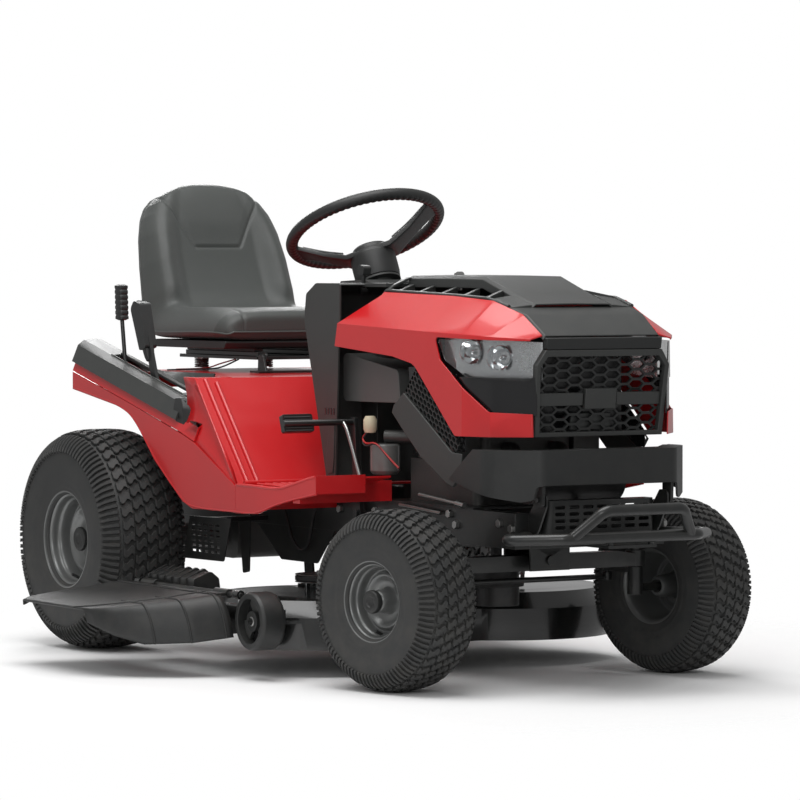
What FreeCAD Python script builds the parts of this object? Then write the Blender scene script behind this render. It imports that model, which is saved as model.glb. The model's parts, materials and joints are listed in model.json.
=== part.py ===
"""Riding lawn mower: front engine, rear drive, twin-blade side-discharge deck.

Axes: +X forward, +Y to the driver's left, +Z up.  The sub-parts are drawn from the middle of
the rear axle on the ground; at export all of them move by the same shift, so that the origin
is the middle of the machine's footprint, on the ground.  Units are millimetres.
"""
import FreeCAD, Part
import math
import os

# ---- driving dimensions -------------------------------------------------------------------
WHEELBASE = 1200.0
FRONT_TRACK = 740.0
REAR_TRACK = 840.0
FRONT_TYRE_R = 190.5          # 15x6.00-6
FRONT_TYRE_W = 152.0
REAR_TYRE_R = 254.0           # 20x8.00-8
REAR_TYRE_W = 210.0
FRONT_BEAD_R = 78.0
REAR_BEAD_R = 104.0
RUN_FIT = 0.05                # radial clearance of every shaft in its own bore

RAIL_Y = 188.0                # outer face of each frame rail
RAIL_Z = (300.0, 375.0)
RAIL_X = (-160.0, 1400.0)
SHEET = 3.0
RAIL_FLANGE = 30.0
HOOD_BRACKET_Y = 150.0

STEER_REST = 11.4             # front wheels stand turned this much to the left
STEER_RATIO = 5.0             # steering wheel turns per turn of the wheels
KINGPIN_Y = 255.0
KINGPIN_R = 10.0
STEER_ARM = 85.0
AXLE_PIVOT_Z = 262.0
SECTOR_X = 650.0
PINION_PITCH_R = 20.0
SECTOR_PITCH_R = PINION_PITCH_R * STEER_RATIO
PINION_X = SECTOR_X + SECTOR_PITCH_R - PINION_PITCH_R

WHEEL_TILT = 27.0             # steering shaft leans back from upright
WHEEL_CENTRE = (490.0, 0.0, 970.0)
WHEEL_RIM_R = 171.0
WHEEL_RIM_TUBE = 14.0
SHAFT_R = 9.0
JOINT_DROP = (PINION_X - WHEEL_CENTRE[0]) / math.sin(math.radians(WHEEL_TILT))

CRANK_X = 1040.0
BELT_Z = (331.5, 337.5)
DRIVE_PULLEY_R = 55.0
TRANSAXLE_PULLEY_X = 60.0

SEAT_HINGE = (200.0, 672.0)
SEAT_HALF = 205.0
SLOT_Y = 380.0                # middle of the lever slot in the right fender
LIFT_PIVOT = (267.0, 480.0)
LIFT_ARM = 178.0
DRIVE_LEVER_PIVOT = (52.0, 600.0)
PEDAL_PIVOT = (800.0, 345.0)

HOOD_HINGE = (1455.0, 405.0)

DECK_X = 690.0
BLADE_Y = 232.0
BLADE_R = 226.0
DECK_LOBE_R = 258.0
DECK_Z = (60.0, 130.0, 165.0)
SPINDLE_R = 12.5
HINGE_Y = -500.0
HINGE_Z = 178.0
SCALP_WHEEL = (874.0, 494.0, 127.0)
SCALP_R = 63.0

REAR_END = -332.0             # back of the seat
FRONT_END = 1614.0            # front of the bumper hoop
RIGHT_END = -778.0            # outer edge of the deflector
LEFT_END = REAR_TRACK / 2 + REAR_TYRE_W / 2
ORIGIN = ((REAR_END + FRONT_END) / 2, (RIGHT_END + LEFT_END) / 2, 0.0)

X_AXIS = FreeCAD.Vector(1, 0, 0)
Y_AXIS = FreeCAD.Vector(0, 1, 0)
Z_AXIS = FreeCAD.Vector(0, 0, 1)


# ---- helpers ------------------------------------------------------------------------------
def vec(x, y, z):
    return FreeCAD.Vector(x, y, z)


def block(x0, x1, y0, y1, z0, z1):
    return Part.makeBox(x1 - x0, y1 - y0, z1 - z0, vec(x0, y0, z0))


def rod(start, end, radius):
    """Round bar between two points."""
    a, b = vec(*start), vec(*end)
    return Part.makeCylinder(radius, (b - a).Length, a, b - a)


def pipe_ring(start, end, outer, inner):
    return rod(start, end, outer).cut(rod(start, end, inner))


def fused(*shapes):
    whole = shapes[0].fuse(list(shapes[1:])) if len(shapes) > 1 else shapes[0]
    return whole.removeSplitter()


def mirrored(shape):
    return shape.mirror(vec(0, 0, 0), Y_AXIS)


def both_sides(shape):
    return [shape, mirrored(shape)]


def rounded_wire(points):
    """Closed wire through points given as (Vector, corner radius)."""
    edges, marks = [], []
    count = len(points)
    for i, (corner, radius) in enumerate(points):
        before, after = points[i - 1][0], points[(i + 1) % count][0]
        if radius <= 0:
            marks.append((corner, corner))
            continue
        to_a, to_b = (before - corner).normalize(), (after - corner).normalize()
        half = to_a.getAngle(to_b) / 2
        reach = radius / math.tan(half)
        middle = (to_a + to_b).normalize()
        centre = corner + middle * (radius / math.sin(half))
        start, end = corner + to_a * reach, corner + to_b * reach
        edges.append(Part.Arc(start, centre - middle * radius, end).toShape())
        marks.append((start, end))
    for i in range(count):
        a, b = marks[i][1], marks[(i + 1) % count][0]
        if (b - a).Length > 1e-6:
            edges.append(Part.LineSegment(a, b).toShape())
    return Part.Wire(Part.__sortEdges__(edges))


def plane_points(points, place):
    """Points are (u, v) or (u, v, corner radius)."""
    return [(place(p[0], p[1]), p[2] if len(p) > 2 else 0) for p in points]


def prism_xz(points, y0, y1):
    wire = rounded_wire(plane_points(points, lambda u, v: vec(u, y0, v)))
    return Part.Face(wire).extrude(vec(0, y1 - y0, 0))


def prism_xy(points, z0, z1):
    wire = rounded_wire(plane_points(points, lambda u, v: vec(u, v, z0)))
    return Part.Face(wire).extrude(vec(0, 0, z1 - z0))


def prism_yz(points, x0, x1):
    wire = rounded_wire(plane_points(points, lambda u, v: vec(x0, u, v)))
    return Part.Face(wire).extrude(vec(x1 - x0, 0, 0))


def turned_y(profile, x, y, z):
    """Solid of revolution about a Y axis; profile is (radius, offset along Y[, corner])."""
    wire = rounded_wire(plane_points(profile, lambda u, v: vec(x, y + v, z + u)))
    return Part.Face(wire).revolve(vec(x, y, z), Y_AXIS, 360)


def turned_z(profile, x, y):
    """Solid of revolution about a Z axis; profile is (radius, height[, corner])."""
    wire = rounded_wire(plane_points(profile, lambda u, v: vec(x + u, y, v)))
    return Part.Face(wire).revolve(vec(x, y, 0), Z_AXIS, 360)


def swept_tube(points, radius, bend):
    """Round tube along straight runs joined by tangent arcs."""
    corners = [vec(*p) for p in points]
    edges, last = [], corners[0]
    for i in range(1, len(corners) - 1):
        here = corners[i]
        to_a, to_b = (corners[i - 1] - here).normalize(), (corners[i + 1] - here).normalize()
        half = to_a.getAngle(to_b) / 2
        reach = bend / math.tan(half)
        middle = (to_a + to_b).normalize()
        centre = here + middle * (bend / math.sin(half))
        start, end = here + to_a * reach, here + to_b * reach
        edges.append(Part.LineSegment(last, start).toShape())
        edges.append(Part.Arc(start, centre - middle * bend, end).toShape())
        last = end
    edges.append(Part.LineSegment(last, corners[-1]).toShape())
    path = Part.Wire(edges)
    section = Part.Wire(Part.makeCircle(radius, corners[0], corners[1] - corners[0]))
    return path.makePipeShell([section], True, False)


def thin_section(points, thickness):
    """Closed outline of a sheet: an open polyline and its copy offset to the left."""
    inner = []
    count = len(points)
    for i, (u, v) in enumerate(points):
        near = [(points[j], points[j + 1]) for j in (i - 1, i) if 0 <= j and j + 1 < count]
        normals = []
        for (u0, v0), (u1, v1) in near:
            length = math.hypot(u1 - u0, v1 - v0)
            normals.append((-(v1 - v0) / length, (u1 - u0) / length))
        nu, nv = sum(n[0] for n in normals), sum(n[1] for n in normals)
        scale = thickness * len(normals) / (nu * nu + nv * nv)
        inner.append((u + nu * scale, v + nv * scale))
    return list(points) + inner[::-1]


def skin(stations, thickness):
    """Sheet lofted through sections in YZ planes; each station is (x, [(y, z), ...])."""
    wires = []
    for x, points in stations:
        corners = [vec(x, y, z) for y, z in thin_section(points, thickness)]
        wires.append(Part.makePolygon(corners + corners[:1]))
    return Part.makeLoft(wires, True, True)


def belt_band(centres, radius, z0, z1):
    """Solid inside a belt run round equal circles."""
    parts = [Part.makeCylinder(radius, z1 - z0, vec(x, y, z0)) for x, y in centres]
    if len(centres) > 2:
        parts.append(prism_xy(centres, z0, z1))
    for i, (x, y) in enumerate(centres):
        x2, y2 = centres[(i + 1) % len(centres)]
        length = math.hypot(x2 - x, y2 - y)
        run = block(0, length, -radius, radius, z0, z1)
        run.rotate(vec(0, 0, 0), Z_AXIS, math.degrees(math.atan2(y2 - y, x2 - x)))
        run.translate(vec(x, y, 0))
        parts.append(run)
    return fused(*parts)


def about(shape, point, axis, degrees):
    turned = shape.copy()
    turned.rotate(vec(*point), axis, degrees)
    return turned


def steered(shape, side):
    """Front parts drawn straight ahead, then turned to the rest angle about their kingpin."""
    return about(shape, (WHEELBASE, side * KINGPIN_Y, 0), Z_AXIS, STEER_REST)


def on_steering_shaft(shape):
    """From the wheel's own frame (+Z up the shaft, centre of the rim) to the machine's."""
    placed = about(shape, (0, 0, 0), Y_AXIS, -WHEEL_TILT)
    placed.translate(vec(*WHEEL_CENTRE))
    return placed


# ---- frame --------------------------------------------------------------------------------
def rail(side):
    """Open channel along one side of the chassis, its back outward."""
    z0, z1 = RAIL_Z
    inner = RAIL_Y - RAIL_FLANGE
    channel = [(-RAIL_Y, z0), (-inner, z0), (-inner, z0 + SHEET), (-RAIL_Y + SHEET, z0 + SHEET),
               (-RAIL_Y + SHEET, z1 - SHEET), (-inner, z1 - SHEET), (-inner, z1), (-RAIL_Y, z1)]
    shape = prism_yz(channel, *RAIL_X)
    return shape if side < 0 else mirrored(shape)


def rail_plates(side):
    """Plates welded to one rail: deck hanger, transaxle pad, lift bracket, dash post and the
    bracket with the pin the hood tilts on."""
    z0, z1 = RAIL_Z
    outer, web, flange = RAIL_Y, RAIL_Y - SHEET, RAIL_Y - RAIL_FLANGE
    hanger = prism_xz([(322, z0), (433, 222, 12), (594, 222, 12), (672, z0)], web, outer)
    pad = block(-35, 35, flange, outer, 282, z0)
    lift = prism_xz([(230, z1), (252, 498, 8), (282, 498, 8), (304, z1)], web, outer)
    lift = lift.cut(rod((LIFT_PIVOT[0], web - 1, LIFT_PIVOT[1]),
                        (LIFT_PIVOT[0], outer + 1, LIFT_PIVOT[1]), 10.0 + RUN_FIT))
    post = block(744, 812, flange + 2, flange + 2 + SHEET, z1, 590)
    bracket = prism_xz([(1404, 304), (1404, 372), (1440, 418, 6), (1470, 418, 12),
                        (1470, 392, 12), (1440, 340)], HOOD_BRACKET_Y, HOOD_BRACKET_Y + 4)
    pin = rod((HOOD_HINGE[0], HOOD_BRACKET_Y + 4, HOOD_HINGE[1]),
              (HOOD_HINGE[0], HOOD_BRACKET_Y + 20, HOOD_HINGE[1]), 6.0 - RUN_FIT)
    plates = [hanger, pad, lift, post, fused(bracket, pin)]
    return plates if side > 0 else [mirrored(plate) for plate in plates]


def axle_mount():
    """Cross plate with two hangers and the pin that the front axle rocks on."""
    plate = block(1146, 1252, -RAIL_Y, RAIL_Y, 296, RAIL_Z[0])
    hangers = [block(x, x + 6, -50, 50, 240, 296) for x in (1146, 1246)]
    pin = rod((1140, 0, AXLE_PIVOT_Z), (1258, 0, AXLE_PIVOT_Z), 10.0 - RUN_FIT)
    return fused(plate, pin, *hangers)


def frame():
    """Welded chassis. Its rails, plates and pins touch face to face where they are welded."""
    z0, z1 = RAIL_Z
    hitch = block(-240, -166, -60, 60, 300, 306)
    hitch = hitch.cut(rod((-214, 0, 290), (-214, 0, 316), 8.0))
    engine_plate = block(860, 1240, -RAIL_Y, RAIL_Y, z1, z1 + 4)
    engine_plate = engine_plate.cut(rod((CRANK_X, 0, 360), (CRANK_X, 0, 390), 30.0))
    web = RAIL_Y - SHEET
    steering_plate = block(612, 772, -web, web, 312, 316)
    steering_plate = steering_plate.cut(rod((PINION_X, 0, 300), (PINION_X, 0, 330),
                                            8.0 + RUN_FIT))
    sector_pin = fused(rod((SECTOR_X, 0, 296), (SECTOR_X, 0, 312), 10.0 - RUN_FIT),
                       rod((SECTOR_X, 0, 292), (SECTOR_X, 0, 296), 16))
    pedal_pin = rod((PEDAL_PIVOT[0], -RAIL_Y, PEDAL_PIVOT[1]),
                    (PEDAL_PIVOT[0], -214, PEDAL_PIVOT[1]), 8.0 - RUN_FIT)
    rear_plate = block(RAIL_X[0] - 6, RAIL_X[0], -RAIL_Y, RAIL_Y, 230, 420)
    front_plate = block(RAIL_X[1], RAIL_X[1] + 4, -RAIL_Y, RAIL_Y, z0, z1)
    transaxle_plate = block(-60, 190, -RAIL_Y, RAIL_Y, z1, z1 + SHEET)
    return Part.makeCompound([rail(-1), rail(1), rear_plate, front_plate, hitch,
                              transaxle_plate, engine_plate, steering_plate, sector_pin,
                              pedal_pin, axle_mount()]
                             + rail_plates(-1) + rail_plates(1) + side_guard())


def front_bumper():
    bow = swept_tube([(1404, -169, 326), (1434, -169, 326), (1458, -266, 324),
                      (1558, -165, 329), (1558, 165, 329), (1458, 266, 324),
                      (1434, 169, 326), (1404, 169, 326)], 12, 22)
    hoop = swept_tube([(1556, -150, 329), (1602, -97, 388), (1602, 97, 388), (1556, 150, 329)],
                      12, 28)
    flat = block(1404, 1560, -60, 60, 306, 312)
    posts = [rod((1552, y, 310), (1556, y, 329), 6) for y in (-50, 50)]
    return fused(bow, hoop, flat, *posts)


def muffler_guard():
    shell = prism_xy([(1404, -137), (1448, -137, 20), (1448, 137, 20), (1404, 137)], 332, 401)
    hollow = prism_xy([(1404, -134), (1445, -134, 17), (1445, 134, 17), (1404, 134)], 335, 398)
    slots = []
    for row in range(4):
        z = 341 + row * 14
        for column in range(7):
            y = -118 + column * 35
            slots.append(prism_yz([(y, z, 3.5), (y + 26, z, 3.5), (y + 26, z + 8, 3.5),
                                   (y, z + 8, 3.5)], 1440, 1452))
    return shell.cut([hollow] + slots)


def side_guard():
    """Louvred heat shield beside the transaxle, the arm that holds it, and a strap bracket."""
    louvred = prism_xz([(302, 320), (493, 322), (458, 224, 8), (268, 222, 8)], -352, -349)
    for row in range(6):
        z = 240 + row * 12
        for column in range(5):
            x = 312 + column * 28 - (z - 240) * 0.06
            louvred = louvred.cut(block(x, x + 18, -356, -345, z, z + 5))
    arm = block(340, 372, -349, -RAIL_Y, 308, 318)
    strap = prism_xz([(241, 330), (297, 330), (290, 185, 6), (262, 180, 6)],
                     -RAIL_Y - 4, -RAIL_Y)
    return [louvred, arm, strap]


# ---- body ---------------------------------------------------------------------------------
def ridge_z(x):
    """Height of the fender's ridge, which falls towards the front."""
    return 700 - (x + 134) * 126 / 524


def fender(side):
    """Fender top, its outer face over the wheel arch, and on the right the lever's lug."""
    rows = []
    for x in (-138, 130, 390, 452):
        top = ridge_z(min(x, 390)) - (0 if x < 400 else 18)
        rows.append((x, [(-334, 638), (-359, top - 1), (-386, top - 10), (-412, top - 30),
                         (-424, top - 60)]))
    top_skin = skin(rows, 4)
    face = prism_xz([(-138, 597), (-138, 638), (130, 575), (390, 511), (452, 493),
                     (640, 405), (640, 347), (444, 345, 10), (398, 359, 10), (265, 447, 40),
                     (172, 535, 40), (108, 561, 30)], -424, -420.3)
    top_skin = top_skin.cut(block(132, 410, -414, -323, 480, 700))
    if side > 0:
        return [mirrored(top_skin), mirrored(face)]
    top_skin = top_skin.cut(block(4, 336, -SLOT_Y - 12, -SLOT_Y + 12, 540, 720))
    px, pz = DRIVE_LEVER_PIVOT
    pin = rod((px, -402, pz), (px, -371, pz), 5.0)
    lug = prism_xz([(40, 588, 6), (64, 588, 6), (72, 630), (32, 630)], -406, -398)
    return [top_skin, face, fused(lug, pin)]


def body_rear():
    """Red moulding: seat deck, front wall, tail and both fenders."""
    deck = prism_xz(thin_section([(452, 636), (-134, 640)], 4), -325, 325)
    wall = prism_xz(thin_section([(634, 405), (452, 636)], 4), -420, 420)
    tail = block(-138, -134, -420, 420, 598, 636)
    return Part.makeCompound([fused(deck, wall, tail)] + fender(-1) + fender(1))


def footboards():
    floor = [(641, 405), (830, 403), (950, 430), (985, 437)]
    parts = []
    for side in (-1, 1):
        low, high = sorted((side * 234, side * 420))
        parts.append(prism_xz(thin_section(floor[::-1], 4), low, high))
        low, high = sorted((side * 420, side * 424))
        skirt = [(641, 345), (641, 409), (830, 407), (950, 434), (989, 441), (990, 400),
                 (827, 373, 60), (743, 348, 40), (685, 345, 20)]
        parts.append(prism_xz(skirt, low, high))
        low, high = sorted((side * 300, side * 420))
        parts.append(block(985, 989, low, high, 402, 441))
        low, high = sorted((side * (RAIL_Y + 0.4), side * 419))
        parts.append(prism_xz([(650, 352), (680, 352), (680, 406), (650, 406)], low, high))
        parts.append(prism_xz([(884, 378), (914, 378), (914, 423), (884, 416)], low, high))
    parts.append(block(641, 700, -234, 234, 401, 405))
    return fused(*parts)


def fender_trim(side):
    rows = []
    for x in (-134, -90, 130, 372):
        top = ridge_z(x) + 14.6
        rows.append((x, [(-327, 644), (-348, top - 2), (-364, top), (-396, top - 2),
                         (-412, top - 14), (-428, top - 52)]))
    cap = skin(rows, 4)
    nose_top = ridge_z(372) + 14
    nose = prism_xz([(362, nose_top - 3), (390, nose_top - 8, 4), (404, 494, 4), (392, 490)],
                    -412, -350)
    whole = fused(cap, nose)
    if side > 0:
        return mirrored(whole)
    return whole.cut(block(4, 336, -SLOT_Y - 12, -SLOT_Y + 12, 560, 730))


def fender_trims():
    return Part.makeCompound([fender_trim(-1), fender_trim(1)])


def dash_console():
    outer = [(743, 408), (757, 690), (763, 761), (763, 849, 6), (660, 849, 20), (617, 825, 10),
             (609, 767), (709, 408)]
    inner = [(748, 400), (762, 690), (770, 761), (770, 845), (664, 845, 16), (621, 823, 8),
             (614, 768), (714, 400)]
    shell = prism_xz(outer, -230, 230).cut(prism_xz(inner, -226, 226))
    nose = prism_xz([(497, 852, 6), (516, 790, 12), (590, 696, 12), (632, 696), (640, 849),
                     (600, 856, 6)], -72, 72)
    nose = nose.cut(prism_xz([(620, 838), (600, 790), (612, 712), (640, 700)], -66, 66))
    nose = nose.cut(prism_xz(inner, -226, 226))
    cowl = block(750, 852, -165, 165, 841, 849)
    tube = on_steering_shaft(pipe_ring((0, 0, -300), (0, 0, -138), 30, SHAFT_R + RUN_FIT))
    bore = on_steering_shaft(rod((0, 0, -420), (0, 0, -100), SHAFT_R + RUN_FIT))
    collar = on_steering_shaft(rod((0, 0, -138), (0, 0, -133.5), 50))
    top_clear = on_steering_shaft(rod((0, 0, -133), (0, 0, 0), 70))
    body = fused(shell, nose, cowl, tube, collar).cut([bore, top_clear])
    throttle_slot = block(676, 742, -142, -134, 830, 860)
    key_hole = rod((700, 120, 830), (700, 120, 860), 7.0)
    return body.cut([throttle_slot, key_hole])


# ---- engine and drive ---------------------------------------------------------------------
def engine_block():
    sump = prism_xy([(900, -140, 20), (1180, -140, 20), (1180, 140, 20), (900, 140, 20)],
                    379, 470)
    case = prism_xy([(915, -120, 30), (1165, -120, 30), (1165, 120, 30), (915, 120, 30)],
                    470, 560)
    heads = []
    for side in (-1, 1):
        for i in range(7):
            low, high = sorted((side * 120, side * (186 if i % 2 == 0 else 172)))
            heads.append(block(1050 + i * 16, 1066 + i * 16, low, high, 474, 552))
    filter_boss = rod((864, -175, 516), (930, -110, 516), 14)
    bore = rod((CRANK_X, 0, 370), (CRANK_X, 0, 425), SPINDLE_R + RUN_FIT)
    return fused(sump, case, filter_boss, *heads).cut(bore)


def engine_shroud():
    bowl = turned_z([(0, 560), (150, 560, 10), (165, 580, 10), (165, 680, 20), (118, 694, 6),
                     (112, 716, 6), (0, 716)], CRANK_X, 0)
    filter_box = prism_xy([(1120, -120, 25), (1240, -120, 25), (1240, 120, 25),
                           (1120, 120, 25)], 610, 740)
    return fused(bowl, filter_box)


def muffler():
    can = rod((1325, -110, 440), (1325, 110, 440), 52)
    inlets = [swept_tube([(1172, y, 500), (1215, y, 500), (1215, y, 440), (1285, y, 440)],
                         12, 20) for y in (-60, 60)]
    outlet = swept_tube([(1325, 0, 395), (1325, 0, 386), (1398, 0, 386)], 9, 7)
    return fused(can, outlet, *inlets)


def oil_filter():
    body = turned_z([(0, 433), (26, 433, 4), (33, 441, 4), (33, 500, 5), (0, 500)], 864, -175)
    return body


def fuel_tank():
    side_view = [(728, 697, 14), (959, 663, 14), (968, 592, 14), (830, 590, 14), (728, 590, 14)]
    plan = [(720, -200), (980, -200), (980, -170), (905, -119), (862, -60), (862, 60),
            (905, 119), (980, 170), (980, 200), (720, 200)]
    body = prism_xz(side_view, -200, 200).common(prism_xy(plan, 560, 720))
    neck = rod((790, -125, 680), (790, -125, 702), 22)
    inner = prism_xz([(734, 690), (953, 657), (960, 598), (734, 598)], -194, 194)
    plan_in = [(726, -194), (974, -194), (974, -177), (901, -127), (856, -66), (856, 66),
               (901, 127), (974, 177), (974, 194), (726, 194)]
    hollow = inner.common(prism_xy(plan_in, 560, 720))
    return fused(body, neck).cut([hollow, rod((790, -125, 670), (790, -125, 702), 18)])


def fuel_cap():
    cap = turned_z([(0, 702.3), (30, 702.3, 2), (30, 722, 5), (0, 724)], 790, -125)
    plug = rod((790, -125, 690), (790, -125, 702.3), 17)
    return fused(cap, plug)


def battery():
    case = prism_xy([(-40, -95, 4), (160, -95, 4), (160, 35, 4), (-40, 35, 4)], 378, 540)
    posts = [rod((x, -70, 540), (x, -70, 556), 8) for x in (-15, 135)]
    return fused(case, *posts)


def transaxle():
    case = prism_xz([(-95, 200, 25), (95, 200, 25), (95, 318, 20), (-95, 318, 20)], -110, 110)
    tubes = [rod((0, side * 110, REAR_TYRE_R), (0, side * 300, REAR_TYRE_R), 28)
             for side in (-1, 1)]
    pad = block(-35, 35, -RAIL_Y, RAIL_Y, 270, 282)
    bore = rod((0, -310, REAR_TYRE_R), (0, 310, REAR_TYRE_R), SHAFT_R + 0.5 + RUN_FIT)
    socket = rod((TRANSAXLE_PULLEY_X, 0, 296), (TRANSAXLE_PULLEY_X, 0, 330), 8 + RUN_FIT)
    return fused(case, pad, *tubes).cut([bore, socket])


def grooved(x, z0, z1, radius):
    """V-belt pulley with its groove between z0 and z1."""
    floor = radius
    rim = radius + 9
    return turned_z([(0, z0 - 4), (rim, z0 - 4), (rim, z0 - 2), (floor, z0 - 0.6),
                     (floor, z1 + 0.6), (rim, z1 + 2), (rim, z1 + 4), (0, z1 + 4)], x, 0)


def transaxle_pulley():
    return fused(grooved(TRANSAXLE_PULLEY_X, *BELT_Z, DRIVE_PULLEY_R),
                 rod((TRANSAXLE_PULLEY_X, 0, 300), (TRANSAXLE_PULLEY_X, 0, 330), 8))


def engine_pulley():
    crank = rod((CRANK_X, 0, 150), (CRANK_X, 0, 420), SPINDLE_R)
    drum = rod((CRANK_X, 0, 152), (CRANK_X, 0, 242), 50)
    return fused(crank, drum, grooved(CRANK_X, *BELT_Z, DRIVE_PULLEY_R))


def drive_belt():
    ends = [(TRANSAXLE_PULLEY_X, 0), (CRANK_X, 0)]
    return belt_band(ends, DRIVE_PULLEY_R + 9, *BELT_Z).cut(
        belt_band(ends, DRIVE_PULLEY_R + 0.8, *BELT_Z))


# ---- steering -----------------------------------------------------------------------------
def steering_wheel():
    rim = Part.makeTorus(WHEEL_RIM_R, WHEEL_RIM_TUBE)
    hub = rod((0, 0, -131), (0, 0, -62), 52)
    cap = rod((0, 0, -62), (0, 0, -50), 44)
    parts = [rim, hub, cap]
    for turn in (45, 225):
        spoke = prism_xz([(34, -72), (60, -78), (150, -16), (166, -6), (166, 6), (148, 2),
                          (60, -52), (34, -50)], -34, 34)
        parts.append(about(spoke, (0, 0, 0), Z_AXIS, turn))
    return fused(on_steering_shaft(fused(*parts)), steering_shaft())


def steering_shaft():
    """Shaft below the hub, with the upper fork of the universal joint."""
    shaft = rod((0, 0, -JOINT_DROP + 28), (0, 0, -131), SHAFT_R)
    disc = rod((0, 0, -JOINT_DROP + 20), (0, 0, -JOINT_DROP + 28), 17)
    ears = []
    for side in (-1, 1):
        low, high = sorted((side * 11, side * 17))
        ears.append(block(-6, 6, low, high, -JOINT_DROP - 6, -JOINT_DROP + 22))
    return on_steering_shaft(fused(shaft, disc, *ears))


def joint_z():
    return WHEEL_CENTRE[2] - JOINT_DROP * math.cos(math.radians(WHEEL_TILT))


def steering_pinion():
    top = joint_z()
    shaft = rod((PINION_X, 0, 300), (PINION_X, 0, top - 28), 8)
    disc = rod((PINION_X, 0, top - 28), (PINION_X, 0, top - 20), 17)
    parts = [shaft, disc, rod((PINION_X, 0, 297), (PINION_X, 0, 310), PINION_PITCH_R - 3.5)]
    for side in (-1, 1):
        low, high = sorted((side * 11, side * 17))
        parts.append(block(PINION_X + low, PINION_X + high, -6, 6, top - 22, top + 6))
    for i in range(10):
        tooth = prism_xy([(14, -3.2), (23, -1.6), (23, 1.6), (14, 3.2)], 297, 310)
        tooth = about(tooth, (0, 0, 0), Z_AXIS, i * 36)
        tooth.translate(vec(PINION_X, 0, 0))
        parts.append(tooth)
    return fused(*parts)


def sector_gear():
    """Plate with an inner-toothed window round the pinion and one arm to the rear."""
    def fan(radius, start, end):
        steps = 10
        points = [(0, 0)]
        for i in range(steps + 1):
            angle = math.radians(start + (end - start) * i / steps)
            points.append((radius * math.cos(angle), radius * math.sin(angle)))
        return prism_xy(points, 299, 307)
    plate = fan(116, -52, 75).cut(fan(97.6, -44, 67).cut(rod((0, 0, 290), (0, 0, 320), 52)))
    gaps = []
    for i in range(-5, 9):
        gap = prism_xy([(94, -4.3), (104, -3.0), (104, 3.0), (94, 4.3)], 290, 320)
        gaps.append(about(gap, (0, 0, 0), Z_AXIS, i * 7.2))
    plate = plate.cut(gaps)
    arm = prism_xy([(0, -20), (0, 20), (-STEER_ARM, 14, 12), (-STEER_ARM - 14, 0, 12),
                    (-STEER_ARM, -14, 12)], 299, 307)
    stud = rod((-STEER_ARM, 0, 280), (-STEER_ARM, 0, 300), 5)
    arm = about(fused(arm, stud), (0, 0, 0), Z_AXIS, STEER_REST)
    hub = rod((0, 0, 299), (0, 0, 307), 24)
    whole = fused(plate, arm, hub).cut(rod((0, 0, 290), (0, 0, 320), 10.0))
    whole.translate(vec(SECTOR_X, 0, 0))
    return whole


def arm_end(x, y):
    """End of a rearward steering arm at rest, for an arm that turns about (x, y)."""
    angle = math.radians(STEER_REST)
    return x - STEER_ARM * math.cos(angle), y - STEER_ARM * math.sin(angle)


def drag_link():
    front = arm_end(WHEELBASE, -KINGPIN_Y)
    rear = arm_end(SECTOR_X, 0)
    span = vec(rear[0] - front[0], rear[1] - front[1], 0).normalize()
    start = (front[0] + span.x * 11, front[1] + span.y * 11, 244)
    end = (rear[0] - span.x * 14, rear[1] - span.y * 14, 286)
    eye_front = rod((front[0], front[1], 237), (front[0], front[1], 251), 12)
    eye_rear = rod((rear[0], rear[1], 281), (rear[0], rear[1], 292), 17)
    body = fused(rod(start, end, 6), eye_front, eye_rear)
    return body.cut([rod((front[0], front[1], 230), (front[0], front[1], 260), 5 + RUN_FIT),
                     rod((rear[0], rear[1], 270), (rear[0], rear[1], 300), 11)])


def tie_rod():
    right = arm_end(WHEELBASE, -KINGPIN_Y)
    left = arm_end(WHEELBASE, KINGPIN_Y)
    bar = rod((right[0], right[1], 210), (left[0], left[1], 210), 6)
    parts = [bar]
    for x, y in (right, left):
        parts.append(rod((x, y, 202), (x, y, 220), 11))
        parts.append(rod((x, y, 220), (x, y, 229), 5))
    return fused(*parts)


def front_axle():
    beam = prism_yz([(-262, 238), (262, 238), (262, 262), (205, 272, 30), (-205, 272, 30),
                     (-262, 262)], 1182, 1218)
    boss = rod((1154, 0, AXLE_PIVOT_Z), (1244, 0, AXLE_PIVOT_Z), 22)
    ends = [rod((WHEELBASE, y, 238), (WHEELBASE, y, 272), 22) for y in (-KINGPIN_Y, KINGPIN_Y)]
    bores = [rod((1140, 0, AXLE_PIVOT_Z), (1260, 0, AXLE_PIVOT_Z), 10.0)]
    bores += [rod((WHEELBASE, y, 230), (WHEELBASE, y, 280), KINGPIN_R)
              for y in (-KINGPIN_Y, KINGPIN_Y)]
    return fused(beam, boss, *ends).cut(bores)


def knuckle(side):
    y = side * KINGPIN_Y
    pin = rod((WHEELBASE, y, 178), (WHEELBASE, y, 280), KINGPIN_R - RUN_FIT)
    nut = rod((WHEELBASE, y, 274), (WHEELBASE, y, 284), 15)
    collar = rod((WHEELBASE, y, 176), (WHEELBASE, y, 236), 17)
    spindle = rod((WHEELBASE, y, FRONT_TYRE_R), (WHEELBASE, side * 434, FRONT_TYRE_R), 9.5)
    arm = prism_xy([(WHEELBASE, y - 16), (WHEELBASE, y + 16),
                    (WHEELBASE - STEER_ARM, y + 13, 12), (WHEELBASE - STEER_ARM - 13, y, 12),
                    (WHEELBASE - STEER_ARM, y - 13, 12)], 224, 234)
    parts = [pin, nut, collar, spindle, arm]
    end_x = WHEELBASE - STEER_ARM
    if side < 0:
        parts.append(rod((end_x, y, 230), (end_x, y, 252), 5))
    hole = rod((end_x, y, 215), (end_x, y, 229.3), 5 + RUN_FIT if side < 0 else 7)
    return steered(fused(*parts).cut(hole), side)


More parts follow.
